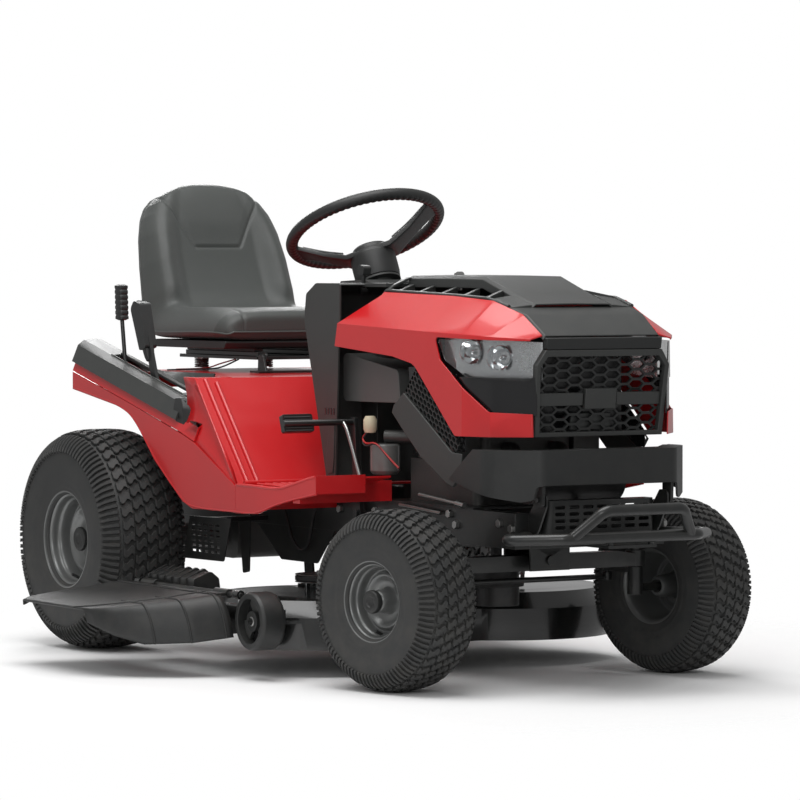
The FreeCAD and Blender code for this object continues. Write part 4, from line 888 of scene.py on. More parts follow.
def even_curve(points, count):
    """The curve with its corners cut, read at equal steps of its own length, and the share of
    the length at each step."""
    curve = smoothed(points, 3)
    reach = np.concatenate([[0], np.cumsum(np.linalg.norm(np.diff(curve, axis=0), axis=1))])
    reach /= reach[-1]
    share = (1 - np.cos(np.linspace(0, math.pi, count))) / 2
    share = 0.35 * share + 0.65 * np.linspace(0, 1, count)
    return share, np.stack([np.interp(share, reach, curve[:, k]) for k in (0, 1)], -1)


def step_up(value, low, high):
    """0 below low, 1 above high, with a smooth S between."""
    t = np.clip((value - low) / (high - low), 0, 1)
    return t * t * (3 - 2 * t)


def line_distance(points, start, end):
    """Distance of each flat point from a straight stretch, by the nearest point on it."""
    start, end = np.array(start, float), np.array(end, float)
    run = end - start
    t = np.clip(((points - start) @ run) / (run @ run), 0, 1)
    return np.linalg.norm(points - start - t[..., None] * run, axis=-1)


def seat_faces():
    """Shares along the seat, Y across it, and the upper and under faces as (x, z) grids."""
    share, upper = even_curve(SEAT_UPPER, ALONG_COUNT)
    _, under = even_curve(SEAT_UNDER, ALONG_COUNT)
    u = np.sin(np.linspace(-math.pi / 2, math.pi / 2, ACROSS_COUNT))
    s = share[:, None]
    half = np.interp(share, SEAT_WIDTH_AT[:, 0], SEAT_WIDTH_AT[:, 1])
    edge = (1 - np.abs(u) ** 7) ** 0.5
    end = np.clip(1 - np.clip(1 - share / 0.035, 0, 1) ** 2.5, 0, 1) ** 0.5
    end = end * np.clip(1 - np.clip(1 - (1 - share) / 0.03, 0, 1) ** 2.5, 0, 1) ** 0.5
    join = under + (0.26 + 0.16 * step_up(share, 0.45, 0.7))[:, None] * (upper - under)
    shrink = (edge[None] * end[:, None])[..., None]
    top = join[:, None] + (upper - join)[:, None] * shrink
    low = join[:, None] + (under - join)[:, None] * shrink
    y = u[None] * half[:, None]
    on_back = step_up(s, 0.46, 0.60)
    away = np.abs(u)[None]
    hump = step_up(away, 0.50, 0.80) * (1 - 0.55 * step_up(away, 0.86, 1.0))
    forward = 34 * hump * on_back * (1 - 0.75 * step_up(s, 0.70, 0.97))
    rise = 17 * hump * (1 - on_back) * step_up(s, 0.06, 0.40)
    top[..., 0] += forward * edge[None]
    top[..., 1] += rise * edge[None] + 9 * hump * on_back * (1 - step_up(s, 0.6, 0.8)) * edge
    top[..., 1] += 3 * (1 - away ** 2) * (1 - on_back) * end[:, None]
    drop = 24 * away ** 2.6 * step_up(s, 0.80, 1.0)
    top[..., 1] -= drop
    low[..., 1] -= drop
    return share, y, top, low


share_line, seat_y, seat_top, seat_low = seat_faces()
print("seat grid", seat_top.shape[:2])

# %% [markdown]
# The seams are pressed into the upper face: each point sinks by a bell curve of its distance
# from the seam line. The back has a panel with two slanting seams and a level one. The cushion
# has a short upright seam at each front corner.


# %% Seams and the finished seat
def sunk(distance, depth, width):
    """How far a point sinks near a seam, by a bell curve of its distance."""
    return depth * np.exp(-(distance / width) ** 2)


def seat_form():
    """Both faces as one closed surface, with the seams pressed in."""
    top, low = seat_top.copy(), seat_low.copy()
    flat = np.stack([seat_y, top[..., 1]], -1)
    back = step_up(share_line, 0.52, 0.58)[:, None]
    sink = np.zeros(seat_y.shape)
    for start, end in (((-62, 932), (62, 932)), ((-62, 932), (-139, 1066)),
                       ((62, 932), (139, 1066))):
        sink = np.maximum(sink, sunk(line_distance(flat, start, end), 4.2, 3.0))
    ahead = np.gradient(top, axis=0)
    normal = np.stack([ahead[..., 1], -ahead[..., 0]], -1)
    normal /= np.linalg.norm(normal, axis=-1, keepdims=True) + 1e-9
    puff = 3.0 * step_up(flat[..., 1], 940, 1000) * step_up(70 + (flat[..., 1] - 932) * 0.5
                                                              - np.abs(seat_y), 0, 30)
    top += normal * ((puff - sink) * back)[..., None]
    front = 1 - step_up(share_line, 0.10, 0.14)[:, None]
    corner = sunk(np.abs(np.abs(seat_y) - CORNER_SEAM_Y), 3.2, 3.0)
    top += normal * (-corner * front)[..., None]
    grids = []
    for face in (top, low[:, ::-1]):
        y = seat_y if face is top else seat_y[:, ::-1]
        grids.append(np.stack([face[..., 0], y, face[..., 1]], -1))
    faces = grid_faces(ALONG_COUNT, ACROSS_COUNT)
    return joined((grids[0].reshape(-1, 3), faces), (grids[1].reshape(-1, 3), faces))


def welt_path():
    """The line where the two faces meet, down one side, round the front and up the other."""
    line = (seat_top + seat_low) / 2
    right = np.stack([line[:, 0, 0], seat_y[:, 0], line[:, 0, 1]], -1)[::-1]
    left = np.stack([line[:, -1, 0], seat_y[:, -1], line[:, -1, 1]], -1)
    front = np.stack([line[0, :, 0], seat_y[0], line[0, :, 1]], -1)
    return np.concatenate([right[2:-4:3], front[1:-1:6], left[4:-2:3]])


seat_skin = piece("seat_bucket", seat_form(), "seat", "seat vinyl", "vinyl", smooth=60,
                  replaces=["seat_cushion", "seat_back"])
piece("seat_welt", swept(welt_path(), 2.6, 10), "seat", "seat vinyl", "vinyl", smooth=60)
print("seat faces", len(seat_skin.data.polygons))

# %% [markdown]
# Real coil springs hold the rear of the seat frame up. A helix is a point that runs round a
# circle while it climbs, and its ends are closed flat coils.


# %% Seat springs and wires
def helix(centre, radius, low, high, turns, count):
    """Climbing circle whose first and last coils lie almost flat."""
    t = np.linspace(0, 1, count)
    angle = 2 * math.pi * turns * t
    height = low + (high - low) * (t - 0.16 * np.sin(2 * math.pi * t) / (2 * math.pi))
    return np.stack([centre[0] + radius * np.cos(angle), centre[1] + radius * np.sin(angle),
                     height], -1)


spring_forms = []
for side in (-1, 1):
    spring_forms.append(swept(helix((-120.0, side * 88.0), 15.5, 643.5, 665.0, 4.6, 140), 2.1, 8))
    spring_forms.append(between((-120, side * 88, 665), (-120, side * 88, 668), 17.5, 24))
piece("seat_coil_springs", joined(*spring_forms), "seat_frame", "bare steel", "bare_steel",
      replaces=["seat_springs"])


def wire(name, corners, radius, finish):
    """A thin lead along a soft curve through its corners."""
    piece(name, swept(smoothed(corners, 4), radius, 8), "root", finish, "black_plastic",
          smooth=60)


wire("seat_switch_lead_red", [(60, -96, 667), (20, -120, 655), (-10, -126, 646),
                              (-40, -150, 643), (-60, -190, 642)], 1.7, "red wire")
wire("seat_switch_lead_black", [(64, -90, 667), (34, -112, 650), (0, -120, 643),
                                (-30, -170, 642.5), (-30, -230, 641.6)], 1.9, "black moulding")
print("springs and leads", len(spring_forms))

# %% [markdown]
# ## Steering wheel
#
# The rim is a ring of soft plastic with finger grips moulded under it. The ring is a torus
# whose tube radius ripples along its lower side. Everything is drawn flat round the shaft, and
# then leant back with it.

# %% Steering wheel
WHEEL_PLACE = (490.0, 0.0, 970.0)
SHAFT_LEAN = 27.0
RIM_RADIUS, RIM_TUBE = 171.0, 13.9


def on_shaft(form):
    """From the wheel's own frame to the machine: leant back, then moved up to the wheel."""
    return moved(turned_form(form, -SHAFT_LEAN, "y"), WHEEL_PLACE)


def gripped_ring():
    """Torus point: a circle of the tube radius round the ring. The radius falls by a ripple of
    72 waves where the tube faces down and in."""
    ring = np.linspace(0, 2 * math.pi, 432, endpoint=False)[:, None]
    tube = np.linspace(0, 2 * math.pi, 22, endpoint=False)[None, :]
    under = np.clip(-np.sin(tube + 0.5), 0, 1) ** 0.7
    radius = RIM_TUBE - 1.5 * under * (0.5 + 0.5 * np.cos(72 * ring)) ** 2
    out = RIM_RADIUS + radius * np.cos(tube)
    rows = np.stack([out * np.cos(ring), out * np.sin(ring), radius * np.sin(tube)], -1)
    return rows.reshape(-1, 3), grid_faces(432, 22, ring=True, loop=True)


def plank(stations, power=0.35, points=20):
    """Bar of changing section: each station is (x, z, half width, half thickness), and its
    outline is a superellipse, a rounded oblong in the YZ plane."""
    turn = np.linspace(0, 2 * math.pi, points, endpoint=False)[None]
    x, z, wide, thick = (np.asarray(stations, float)[:, k, None] for k in range(4))
    c, s = np.cos(turn), np.sin(turn)
    y = wide * np.sign(c) * np.abs(c) ** power
    up = thick * np.sign(s) * np.abs(s) ** power
    return loft(np.stack([x + 0 * c, y, z + up], -1))


def spoke(angle):
    """Broad flat arm from the hub out to the rim, narrow in its middle."""
    arm = plank([(26, -66, 38, 8), (52, -66, 37, 8), (66, -58, 33, 8), (104, -37, 27, 7),
                 (140, -14, 31, 7), (156, -5, 36, 7), (168, -1, 38, 6)])
    return turned_form(arm, angle, "z")


def spoke_rib(angle, shift):
    """Raised edge along a spoke."""
    path = [(60, shift * 25, -51), (104, shift * 18, -28), (146, shift * 23, -4)]
    return turned_form(swept(smoothed(path, 2), 3.2, 8), angle, "z")


hub = turned([(-131, 0), (-131, 50), (-118, 52), (-74, 52), (-66, 50), (-62, 45), (-54, 44),
              (-50.5, 41), (-50.5, 30), (-52.5, 28), (-52.5, 0)], axis="z", steps=64)
wheel_parts = [gripped_ring(), hub] + [spoke(a) for a in (45, 225)]
wheel_parts += [spoke_rib(a, s) for a in (45, 225) for s in (-1, 1)]
piece("steering_wheel_rim", on_shaft(joined(*wheel_parts)), "steering_wheel", "black moulding",
      "black_plastic", smooth=40, replaces=["steering_wheel"])
shaft_drop = (730.0 - WHEEL_PLACE[0]) / math.sin(math.radians(SHAFT_LEAN))
shaft = joined(between((0, 0, -shaft_drop + 24), (0, 0, -131), 9.0, 20),
               between((0, 0, -shaft_drop + 20), (0, 0, -shaft_drop + 28), 17.0, 24),
               brick(-6, 6, -17, -11, -shaft_drop - 6, -shaft_drop + 22),
               brick(-6, 6, 11, 17, -shaft_drop - 6, -shaft_drop + 22))
piece("steering_shaft", on_shaft(shaft), "steering_wheel", "bare steel", "bare_steel", bevel=0.8)
print("steering wheel parts", len(wheel_parts))

# %% [markdown]
# ## Grille
#
# The grille is a frame with clipped upper corners round a honeycomb of wide flat cells. Each
# cell is a small closed ring: a hexagon outside, a smaller one inside, and a little depth. All
# cells are worked out at once, and those at the border are held inside the frame's outline.
# A black sheet of painted shade stands behind it, for the shade inside the hood seen through the
# cells, with a gap left at one side.


# %% Honeycomb and frames
def honeycomb(u_span, v_span, step, wall, depth, limit=None):
    """Rings of hexagons on a staggered lattice. The step is (column, row). Each ring is four
    outlines joined in a loop: front outer, front inner, back inner and back outer."""
    columns = np.arange(u_span[0], u_span[1] + step[0], step[0])
    rows = np.arange(v_span[0], v_span[1] + step[1], step[1])
    u, v = np.meshgrid(columns, rows, indexing="ij")
    v = v + (np.arange(len(columns)) % 2)[:, None] * step[1] / 2
    centres = np.stack([u.ravel(), v.ravel()], -1)
    hexagon = np.array([(2 / 3, 0), (1 / 3, 0.5), (-1 / 3, 0.5), (-2 / 3, 0), (-1 / 3, -0.5),
                        (1 / 3, -0.5)]) * np.array(step)
    size = np.abs(hexagon).max(0)
    inner = hexagon * (1 - wall / size)
    rings = np.stack([hexagon, inner, inner, hexagon])
    flat = centres[:, None, None] + rings[None]
    flat[..., 0] = np.clip(flat[..., 0], *u_span)
    flat[..., 1] = np.clip(flat[..., 1], *v_span)
    if limit is not None:
        flat = limit(flat)
    level = np.broadcast_to(np.array([0, 0, -depth, -depth], float)[None, :, None],
                            flat.shape[:3])
    points = np.concatenate([flat, level[..., None]], -1)
    span = np.ptp(points[:, 0, :, :2], axis=1).min(-1)
    points = points[span > wall]
    one = grid_faces(4, 6, ring=True, loop=True)
    faces = [[k + n * 24 for k in face] for n in range(len(points)) for face in one]
    return points.reshape(-1, 3), faces


def framed(outer, inner, low, high):
    """Flat frame between two outlines with the same number of points, from low to high."""
    outer, inner = np.asarray(outer, float), np.asarray(inner, float)
    rings = [(outer, high), (inner, high), (inner, low), (outer, low)]
    rows = np.stack([np.column_stack([ring, np.full(len(ring), level)])
                     for ring, level in rings])
    return rows.reshape(-1, 3), grid_faces(4, len(outer), ring=True, loop=True)


GRILLE_TILT = 6.5


def on_grille(form):
    """From (across, height, out) to the machine: the grille leans back about its foot."""
    points = form[0]
    stood = np.stack([1425 + points[:, 2], points[:, 0], points[:, 1]], -1)
    return spun(stood, GRILLE_TILT, "y", (1425, 0, 536)), form[1]


def clipped_corner(flat):
    """Cells stay below the slanted upper corners of the window."""
    top = 701 - np.clip(np.abs(flat[..., 0]) - 138, 0, None) * 0.75
    flat[..., 1] = np.minimum(flat[..., 1], top)
    return flat


outer_frame = [(-160, 534), (160, 534), (167, 684), (146, 716), (-146, 716), (-167, 684)]
window = [(-149, 543), (149, 543), (156, 681), (139, 702), (-139, 702), (-156, 681)]
piece("grille_frame", on_grille(framed(outer_frame, window, -4, 11)), "hood", "grey moulding",
      "black_plastic", bevel=1.6, replaces=["grille"])
piece("grille_mesh", on_grille(honeycomb((-155, 155), (538, 703), (31, 20.6), 2.6, 7,
                                         clipped_corner)), "hood", "black moulding",
      "black_plastic", smooth=20)
bars = [slab([(-152, 598), (-42, 598), (-42, 625), (-152, 625)], -6, 5, "z"),
        slab([(42, 598), (152, 598), (152, 625), (42, 625)], -6, 5, "z"),
        slab([(-39, 591), (39, 591), (39, 634), (-39, 634)], -6, 9, "z"),
        slab([(-60, 545), (40, 545), (40, 580), (-60, 580)], -16, -9, "z")]
piece("grille_bars", on_grille(joined(*bars)), "hood", "grey moulding", "black_plastic",
      bevel=1.6)
# Painted shade: a black sheet behind the grille stands for the shade inside the hood.
shade_sheet = brick(1380, 1384, -150, 92, 536, 716)
piece("grille_shade_sheet", shade_sheet, "hood", "lamp black and painted shade", "black_plastic", bevel=0.8)
brow = slab([(-144, 717), (144, 717), (145, 741), (-145, 741)], -8, 10, "z")
piece("grille_brow", on_grille(brow), "hood", "black moulding", "black_plastic", bevel=1.6)

# %% [markdown]
# Behind the headlights the hood's sides open into slanted meshes, so that air reaches the engine.
# The same honeycomb is drawn along the slant, a plain strip covers its lower edge, and a dark plate
# behind is painted shade, standing for the shaded engine bay seen through the mesh.


# %% Side meshes
MESH_FOOT = np.array([1052.0, 612.0])
MESH_ALONG = np.array([0.761, -0.648])
MESH_ACROSS = np.array([0.648, 0.761])


def on_hood_side(form, y, side):
    """From (along, across, out) to the hood's side, and to the other side by mirror."""
    points = form[0]
    plan = MESH_FOOT + points[:, :1] * MESH_ALONG + points[:, 1:2] * MESH_ACROSS
    stood = np.stack([plan[:, 0], -(y + points[:, 2]), plan[:, 1]], -1)
    return mirrored((stood, form[1])) if side > 0 else (stood, form[1])


def narrowing(flat):
    """Cells stay above the window's lower edge, which rises towards the front."""
    flat[..., 1] = np.maximum(flat[..., 1], flat[..., 0] * 0.20)
    return flat


strip = [(1052, 617), (1245, 497), (1284, 495), (1280, 452), (1250, 424), (1222, 432),
         (1122, 483), (1045, 541), (1004, 574), (1012, 590)]
shade = [(1047, 672), (1104, 674), (1276, 534), (1276, 500), (1245, 499), (1054, 617)]
for side, word in ((-1, "right"), (1, "left")):
    low, high = sorted((side * 238, side * 244))
    piece(f"side_strip_{word}", slab(strip, low, high), "hood", "grey moulding",
          "black_plastic", bevel=1.6, replaces=["side_grilles"] if side < 0 else ())
    # Painted shade: the dark plate behind the mesh stands for the shade in the engine bay.
    low, high = sorted((side * 226, side * 228))
    piece(f"side_shade_{word}", slab(shade, low, high), "hood", "lamp black and painted shade", "black_plastic",
          bevel=0.6)
    cells = honeycomb((-4, 230), (0, 70), (15, 12), 1.7, 5, narrowing)
    piece(f"side_mesh_{word}", on_hood_side(cells, 240, side), "hood", "black moulding",
          "black_plastic", smooth=20)
print("side meshes done")

# %% [markdown]
# ## Headlights
#
# Each lamp has two bowls set in a silver tray behind a clear lens, with a black blank below.
# A bowl is a parabola turned round its own axis; the bulb is a small dome in the middle.


# %% Headlights
def aimed(form, place, yaw):
    """A form drawn along +X turned to face sideways by the yaw, then moved to its place."""
    return moved(turned_form(form, yaw, "z"), place)


def bowl(radius, depth):
    """Parabolic dish with a thin wall: its depth grows with the square of the radius."""
    r = np.linspace(0, 1, 14)
    inner = np.stack([depth * (r ** 2 - 1), r * radius], -1)
    outer = inner[::-1] + np.array([-1.5, 1.2])
    outer[-1, 1] = 0
    return turned(np.concatenate([inner, outer]), axis="x", steps=40)


def lamp_parts(side):
    """Two bowls and two bulbs, on one side of the hood."""
    spots = ((1276, -213, 708, -56), (1352, -193, 697, -50))
    bowls = [aimed(bowl(25, 20), (x, y, z), yaw) for x, y, z, yaw in spots]
    bulbs = [aimed(turned([(-19, 0), (-19, 6), (-9, 6), (-4, 4.6), (-1.5, 0)], axis="x",
                          steps=24), (x, y, z), yaw) for x, y, z, yaw in spots]
    if side > 0:
        bowls, bulbs = [mirrored(f) for f in bowls], [mirrored(f) for f in bulbs]
    return joined(*bowls), joined(*bulbs)


def tray(side):
    """Silver tray behind the lens: a folded plate along the hood's side, seen through it."""
    line = [(1186, -222), (1235, -222), (1262, -200), (1375, -172), (1436, -148)]
    top, foot = (737, 737, 735, 732, 730), (690, 668, 656, 652, 652)
    front = np.array([[(x, y, z0), (x, y, z1), (x + 4, y + 4, z1), (x + 4, y + 4, z0)]
                      for (x, y), z1, z0 in zip(line, top, foot)])
    form = loft(front)
    return mirrored(form) if side > 0 else form


def blank(side):
    """Black panel that closes the opening below the lens: its outline follows the hood's side,
    set in by a little, and its foot follows the slanting edge of the opening."""
    x = np.linspace(1250, 1446, 15)
    y = -(np.interp(x, [1138, 1290, 1375, 1442], [245, 247, 230, 174]) - 9)
    foot = np.maximum(694 - (x - 1200) * 0.655, 578)
    top = np.full(len(x), 656.0)
    outline = [(x, y, top), (x, y, foot), (x, y + 3, foot), (x, y + 3, top)]
    form = loft(np.stack([np.stack(p, -1) for p in outline], 1))
    return mirrored(form) if side > 0 else form


for side, word in ((-1, "right"), (1, "left")):
    dishes, bulbs = lamp_parts(side)
    piece(f"lamp_blank_{word}", blank(side), "hood", "lamp black and painted shade", "lamp_black", smooth=30,
          replaces=["headlight_housings"] if side < 0 else ())
    piece(f"lamp_bowls_{word}", dishes, "hood", "lamp mirror", "lamp_clear", smooth=50)
    piece(f"lamp_bulbs_{word}", bulbs, "hood", "lamp silver", "lamp_clear", smooth=50)
    piece(f"lamp_tray_{word}", tray(side), "hood", "lamp silver", "lamp_clear", smooth=30)
print("headlights done")

# %% [markdown]
# ## Hood cover
#
# A raised dark cover runs along the middle of the hood. On each side of it lies a row of open
# slots, with slanted bars across and a dark sheet of painted shade below them, and in front of it a
# faceted slope leads down to the brow.


# %% Hood cover, vents and slope
COVER = [(852, 107, 866), (1000, 106, 866.5), (1147, 104, 865), (1261, 102, 829),
         (1336, 101, 808)]


def cover_section(x, half, height):
    """Closed thin outline across the hood: down one edge, over the top and down the other."""
    outer = [(-half, height - 26), (-half, height - 7), (-half + 8, height), (0, height + 1.2),
             (half - 8, height), (half, height - 7), (half, height - 26)]
    inner = [(half - 3, height - 26), (half - 3, height - 8), (half - 10, height - 3.2),
             (0, height - 2.2), (-half + 10, height - 3.2), (-half + 3, height - 8),
             (-half + 3, height - 26)]
    return [(x, y, z) for y, z in outer + inner]


cover = loft(np.array([cover_section(*station) for station in COVER]))
piece("hood_cover", cover, "hood", "grey moulding", "grey_plastic", bevel=1.2,
      replaces=["hood_top"])
SLOPE = [(1326, 156, 803), (1384, 146, 786), (1447, 142, 744)]
slope_rows = np.array([[(x, -h - 6, z - 10), (x, -h, z), (x, h, z), (x, h + 6, z - 10),
                        (x - 3, h + 2, z - 11), (x - 3, h - 3, z - 4), (x - 3, -h + 3, z - 4),
                        (x - 3, -h - 2, z - 11)] for x, h, z in SLOPE])
piece("hood_slope", loft(slope_rows), "hood", "grey moulding", "grey_plastic", bevel=1.5)


def edge_height(x):
    """Height of the hood's side edge at a distance along it."""
    return np.interp(x, [856, 1147, 1261, 1333], [832, 823, 818, 801])


def vent_strip(side):
    """Outer rail, a dark floor of painted shade under the slots, a solid front corner and slanted
    bars between the slots.
    """
    x = np.linspace(856, 1330, 14)
    rail_y = np.interp(x, [856, 1147, 1261, 1333], [166, 166, 163, 155])
    rail = swept(np.stack([x, -rail_y, edge_height(x) + 1.5], -1), 5.0, 8, flat=0.8)
    # Painted shade: the dark floor under the slots stands for the shade below them.
    floor = loft(np.stack([np.stack([x, 0 * x - 103, edge_height(x) - 12], -1),
                           np.stack([x, -rail_y, edge_height(x) - 12], -1),
                           np.stack([x, -rail_y, edge_height(x) - 15], -1),
                           np.stack([x, 0 * x - 103, edge_height(x) - 15], -1)], 1))
    bars = []
    for start in (862, 945, 1035, 1125, 1215):
        low, high = edge_height(start + 40) + 1, edge_height(start) + 24
        bars.append(loft(np.array([
            [(start, -104, high - 8), (start + 13, -104, high - 8), (start + 13, -104, high - 24),
             (start, -104, high - 24)],
            [(start + 34, -164, low + 2), (start + 47, -164, low + 2), (start + 47, -164, low - 10),
             (start + 34, -164, low - 10)]])))
    corner = slab([(1262, -104), (1262, -162), (1300, -161), (1334, -154), (1334, -101)],
                  796, 797, "z")
    corner[0][5:, 2] = [826, 818, 810, 801, 806]
    parts = [joined(rail, *bars, corner), floor]
    return [mirrored(f) for f in parts] if side > 0 else parts


for side, word in ((-1, "right"), (1, "left")):
    bars_form, shade_floor_form = vent_strip(side)
    piece(f"vent_bars_{word}", bars_form, "hood", "grey moulding", "grey_plastic", bevel=1.0)
    piece(f"vent_shade_floor_{word}", shade_floor_form, "hood", "lamp black and painted shade", "grey_plastic")
rear_lip = loft(np.array([[(850, y, z), (862, y, z), (862, y, z - 6), (850, y, z - 6)]
                          for y, z in ((-170, 832), (-150, 846), (-112, 862), (0, 864), (112, 862),
                                       (150, 846), (170, 832))]))
piece("hood_rear_lip", rear_lip, "hood", "grey moulding", "grey_plastic", bevel=1.2)
print("hood cover done")

# %% [markdown]
# ## Details of the red body
#
# The body is one large moulding, and its stiffness comes from raised ribs and folded edges.
# The ribs run down the front wall to the footboard, and raised grip lines stiffen each footboard.
# Each rib is a half-sunk round bar, so it swells out of the sheet.

# %% Ribs, folded edges and grip lines
WALL_TOP, WALL_FOOT = np.array([452.0, 636.0]), np.array([634.0, 405.0])


def on_wall(share, y, out=2.0):
    """Point on the slanting front wall, a share of the way down, lifted off by a little."""
    spot = WALL_TOP + (WALL_FOOT - WALL_TOP) * share
    return (spot[0] + out * 0.79, y, spot[1] + out * 0.62)


body_ribs = []
for side in (-1, 1):
    for y, start in ((398, 0.02), (372, 0.05)):
        path = [on_wall(t, side * (y - 10 * t), 1.0) for t in np.linspace(start, 0.99, 12)]
        body_ribs.append(swept(path, 6.0, 12))
    body_ribs.append(swept([(638, side * y, 409) for y in (240, 300, 400)], 6.5, 12))
    edge = [(648, side * 421, 407), (740, side * 421, 406.5), (830, side * 421, 405),
            (890, side * 421, 418), (950, side * 421, 432), (984, side * 421, 438)]
    body_ribs.append(swept(smoothed(edge, 2), 4.2, 10))
    arch = [(-136, 422.5, 600), (0, 422.5, 580), (108, 422.5, 563), (172, 422.5, 537),
            (265, 422.5, 449), (398, 422.5, 361), (444, 422.5, 347), (640, 422.5, 348),
            (685, 422.5, 347), (743, 422.5, 350), (827, 422.5, 375), (986, 422.5, 402)]
    arch = smoothed(np.array(arch) * [1, side, 1], 3)
    body_ribs.append(swept(arch, 2.6, 8))
# The gap between the fender's face and the front wall: its lower and upper edges in (x, z)
FILL_LOW = np.array([(392, 509), (430, 499), (470, 485), (540, 452), (600, 424), (636, 406)],
                    float)
FILL_HIGH = np.array([(400, 637), (426, 637), (452, 636), (514, 557), (574, 482), (635, 406)],
                     float)
FILL_ROWS, FILL_COLUMNS, FILL_HOLLOW = 9, 6, 26
t = np.linspace(0, 1, FILL_COLUMNS)
s = np.linspace(0, 1, FILL_ROWS)[:, None, None]
fill_plan = FILL_LOW * (1 - s) + FILL_HIGH * s
hollow = FILL_HOLLOW * np.sin(math.pi * s[..., 0]) * np.sin(math.pi * (0.15 + 0.8 * t))
fills = []
for side in (-1, 1):
    depth = side * (421.5 - hollow)
    front = np.stack([fill_plan[..., 0], depth, fill_plan[..., 1]], -1)
    fills.append((front.reshape(-1, 3), grid_faces(FILL_ROWS, FILL_COLUMNS)))
    fills.append(brick(402, 452, *sorted((side * 325, side * 420)), 633, 637))
piece("fender_fill", joined(fills[0], fills[2]), "root", "red moulding", "red_plastic",
      smooth=60, wall=3.0)
piece("deck_fill", joined(fills[1], fills[3]), "root", "red moulding", "red_plastic", bevel=1.0)
piece("body_ribs", joined(*body_ribs), "root", "red moulding", "red_plastic", smooth=60)
grip_lines = []
for side in (-1, 1):
    for k in range(7):
        y = side * (262 + k * 20)
        grip_lines.append(swept([(668, y, 409.4), (745, y, 408.6), (818, y, 407.6)], 3.2, 8,
                                flat=0.6))
piece("footboard_grips", joined(*grip_lines), "root", "red moulding", "red_plastic", smooth=60)
print("ribs", len(body_ribs), "grip lines", len(grip_lines))

# %% [markdown]
# ## Lever console on the fender
#
# Inside the long slot a pale rail carries the notches for the height lever. Each notch is a
# small step, so the rail is cut as one comb-shaped outline.


# %% Slot rail and console lines
def ridge(x):
    """Height of the fender console along its length."""
    return 700 - (x + 134) * 126 / 524 + 14.6


notch_x = np.linspace(20, 322, 17)
upper = np.stack([notch_x, ridge(notch_x) - 9 - 5 * (np.arange(17) % 2)], -1)
lower = np.stack([notch_x[::-1], ridge(notch_x[::-1]) - 30], -1)
rail_outline = np.concatenate([upper, lower])
piece("slot_rail", slab(rail_outline, -390.6, -388.2), "root", "pale rail", "grey_plastic",
      bevel=0.5)
lips = []
for y in (-393.5, -366.5):
    x = np.linspace(2, 338, 12)
    lips.append(swept(np.stack([x, np.full(12, y), ridge(x) - (2.5 if y < -380 else -0.5)], -1),
                      3.0, 8))
piece("slot_lips", joined(*lips), "root", "grey moulding", "grey_plastic", smooth=60)
print("slot rail points", len(rail_outline))

# %% [markdown]
# ## Levers and grips
#
# The drive lever has a ribbed grip: its radius steps in and out along its length. The height lever
# is a thick flat handle that ends in a rounded knob.


# %% Lever grips
def ribbed_grip(start, end, half_x, half_y, ribs):
    """Grip along a line: an oblong section whose size ripples, and closes at both ends."""
    t = np.linspace(0, 1, 8 * ribs + 1)
    swell = 1 - 0.10 * (0.5 + 0.5 * np.cos(2 * math.pi * ribs * t)) ** 3
    swell *= np.clip(np.minimum(t, 1 - t) / 0.03, 0.35, 1) ** 0.5
    turn = np.linspace(0, 2 * math.pi, 20, endpoint=False)[None]
    c, s = np.cos(turn), np.sin(turn)
    x = half_x * np.sign(c) * np.abs(c) ** 0.5 * swell[:, None]
    y = half_y * np.sign(s) * np.abs(s) ** 0.5 * swell[:, None]
    start, end = np.array(start, float), np.array(end, float)
    path = start + (end - start) * t[:, None]
    return loft(path[:, None] + np.stack([x, y, 0 * x], -1))


grip = ribbed_grip((27.5, -380, 760), (23, -380, 843.5), 15.5, 12.5, 7)
stem = between((51, -380, 608), (27, -380, 764), 4.8, 16)
eye = moved(turned([(-9, 5.1), (-9, 11), (9, 11), (9, 5.1)], axis="y", steps=32),
            (52, -383, 600))
piece("drive_lever_grip", grip, "drive_lever", "black moulding", "black_plastic", smooth=50)
piece("drive_lever_stem", joined(stem, eye), "drive_lever", "frame paint", "black_plastic",
      smooth=50, replaces=["drive_lever"])
handle = np.array([(166, 664, 7, 9), (158, 690, 10, 13), (147, 722, 13, 14.5),
                   (136, 750, 14, 15), (124, 776, 15, 15), (115, 794, 14, 14),
                   (110, 803, 9, 10), (107, 807, 3, 4)], float)
turn = np.linspace(0, 2 * math.pi, 20, endpoint=False)[None]
rounded_cos = np.sign(np.cos(turn)) * np.abs(np.cos(turn)) ** 0.6
rounded_sin = np.sign(np.sin(turn)) * np.abs(np.sin(turn)) ** 0.6
knob_rows = np.stack([handle[:, :1] + 0.93 * handle[:, 2:3] * rounded_cos,
                      -380 + handle[:, 3:] * rounded_sin,
                      handle[:, 1:2] + 0.36 * handle[:, 2:3] * rounded_cos], -1)
piece("height_lever_knob", loft(knob_rows), "height_lever", "black moulding", "black_plastic",
      smooth=50, subdivide=1)
print("lever grips done")

# %% [markdown]
# ## Dash, pedal and small fittings
#
# The console's side carries a row of small vents, drawn as black slabs of painted shade, and a
# lower inset panel. The pedal's pad is rubber with grip ridges.


# %% Dash panel and pedal
dash_parts = []
for side in (-1, 1):
    low, high = sorted((side * 230, side * 232.2))
    inset = [(722, 545), (744, 548), (741, 470), (736, 432), (714, 430), (708, 470)]
    dash_parts.append(slab(inset, low, high))
piece("dash_insets", joined(*dash_parts), "root", "grey moulding", "grey_plastic", bevel=1.0)
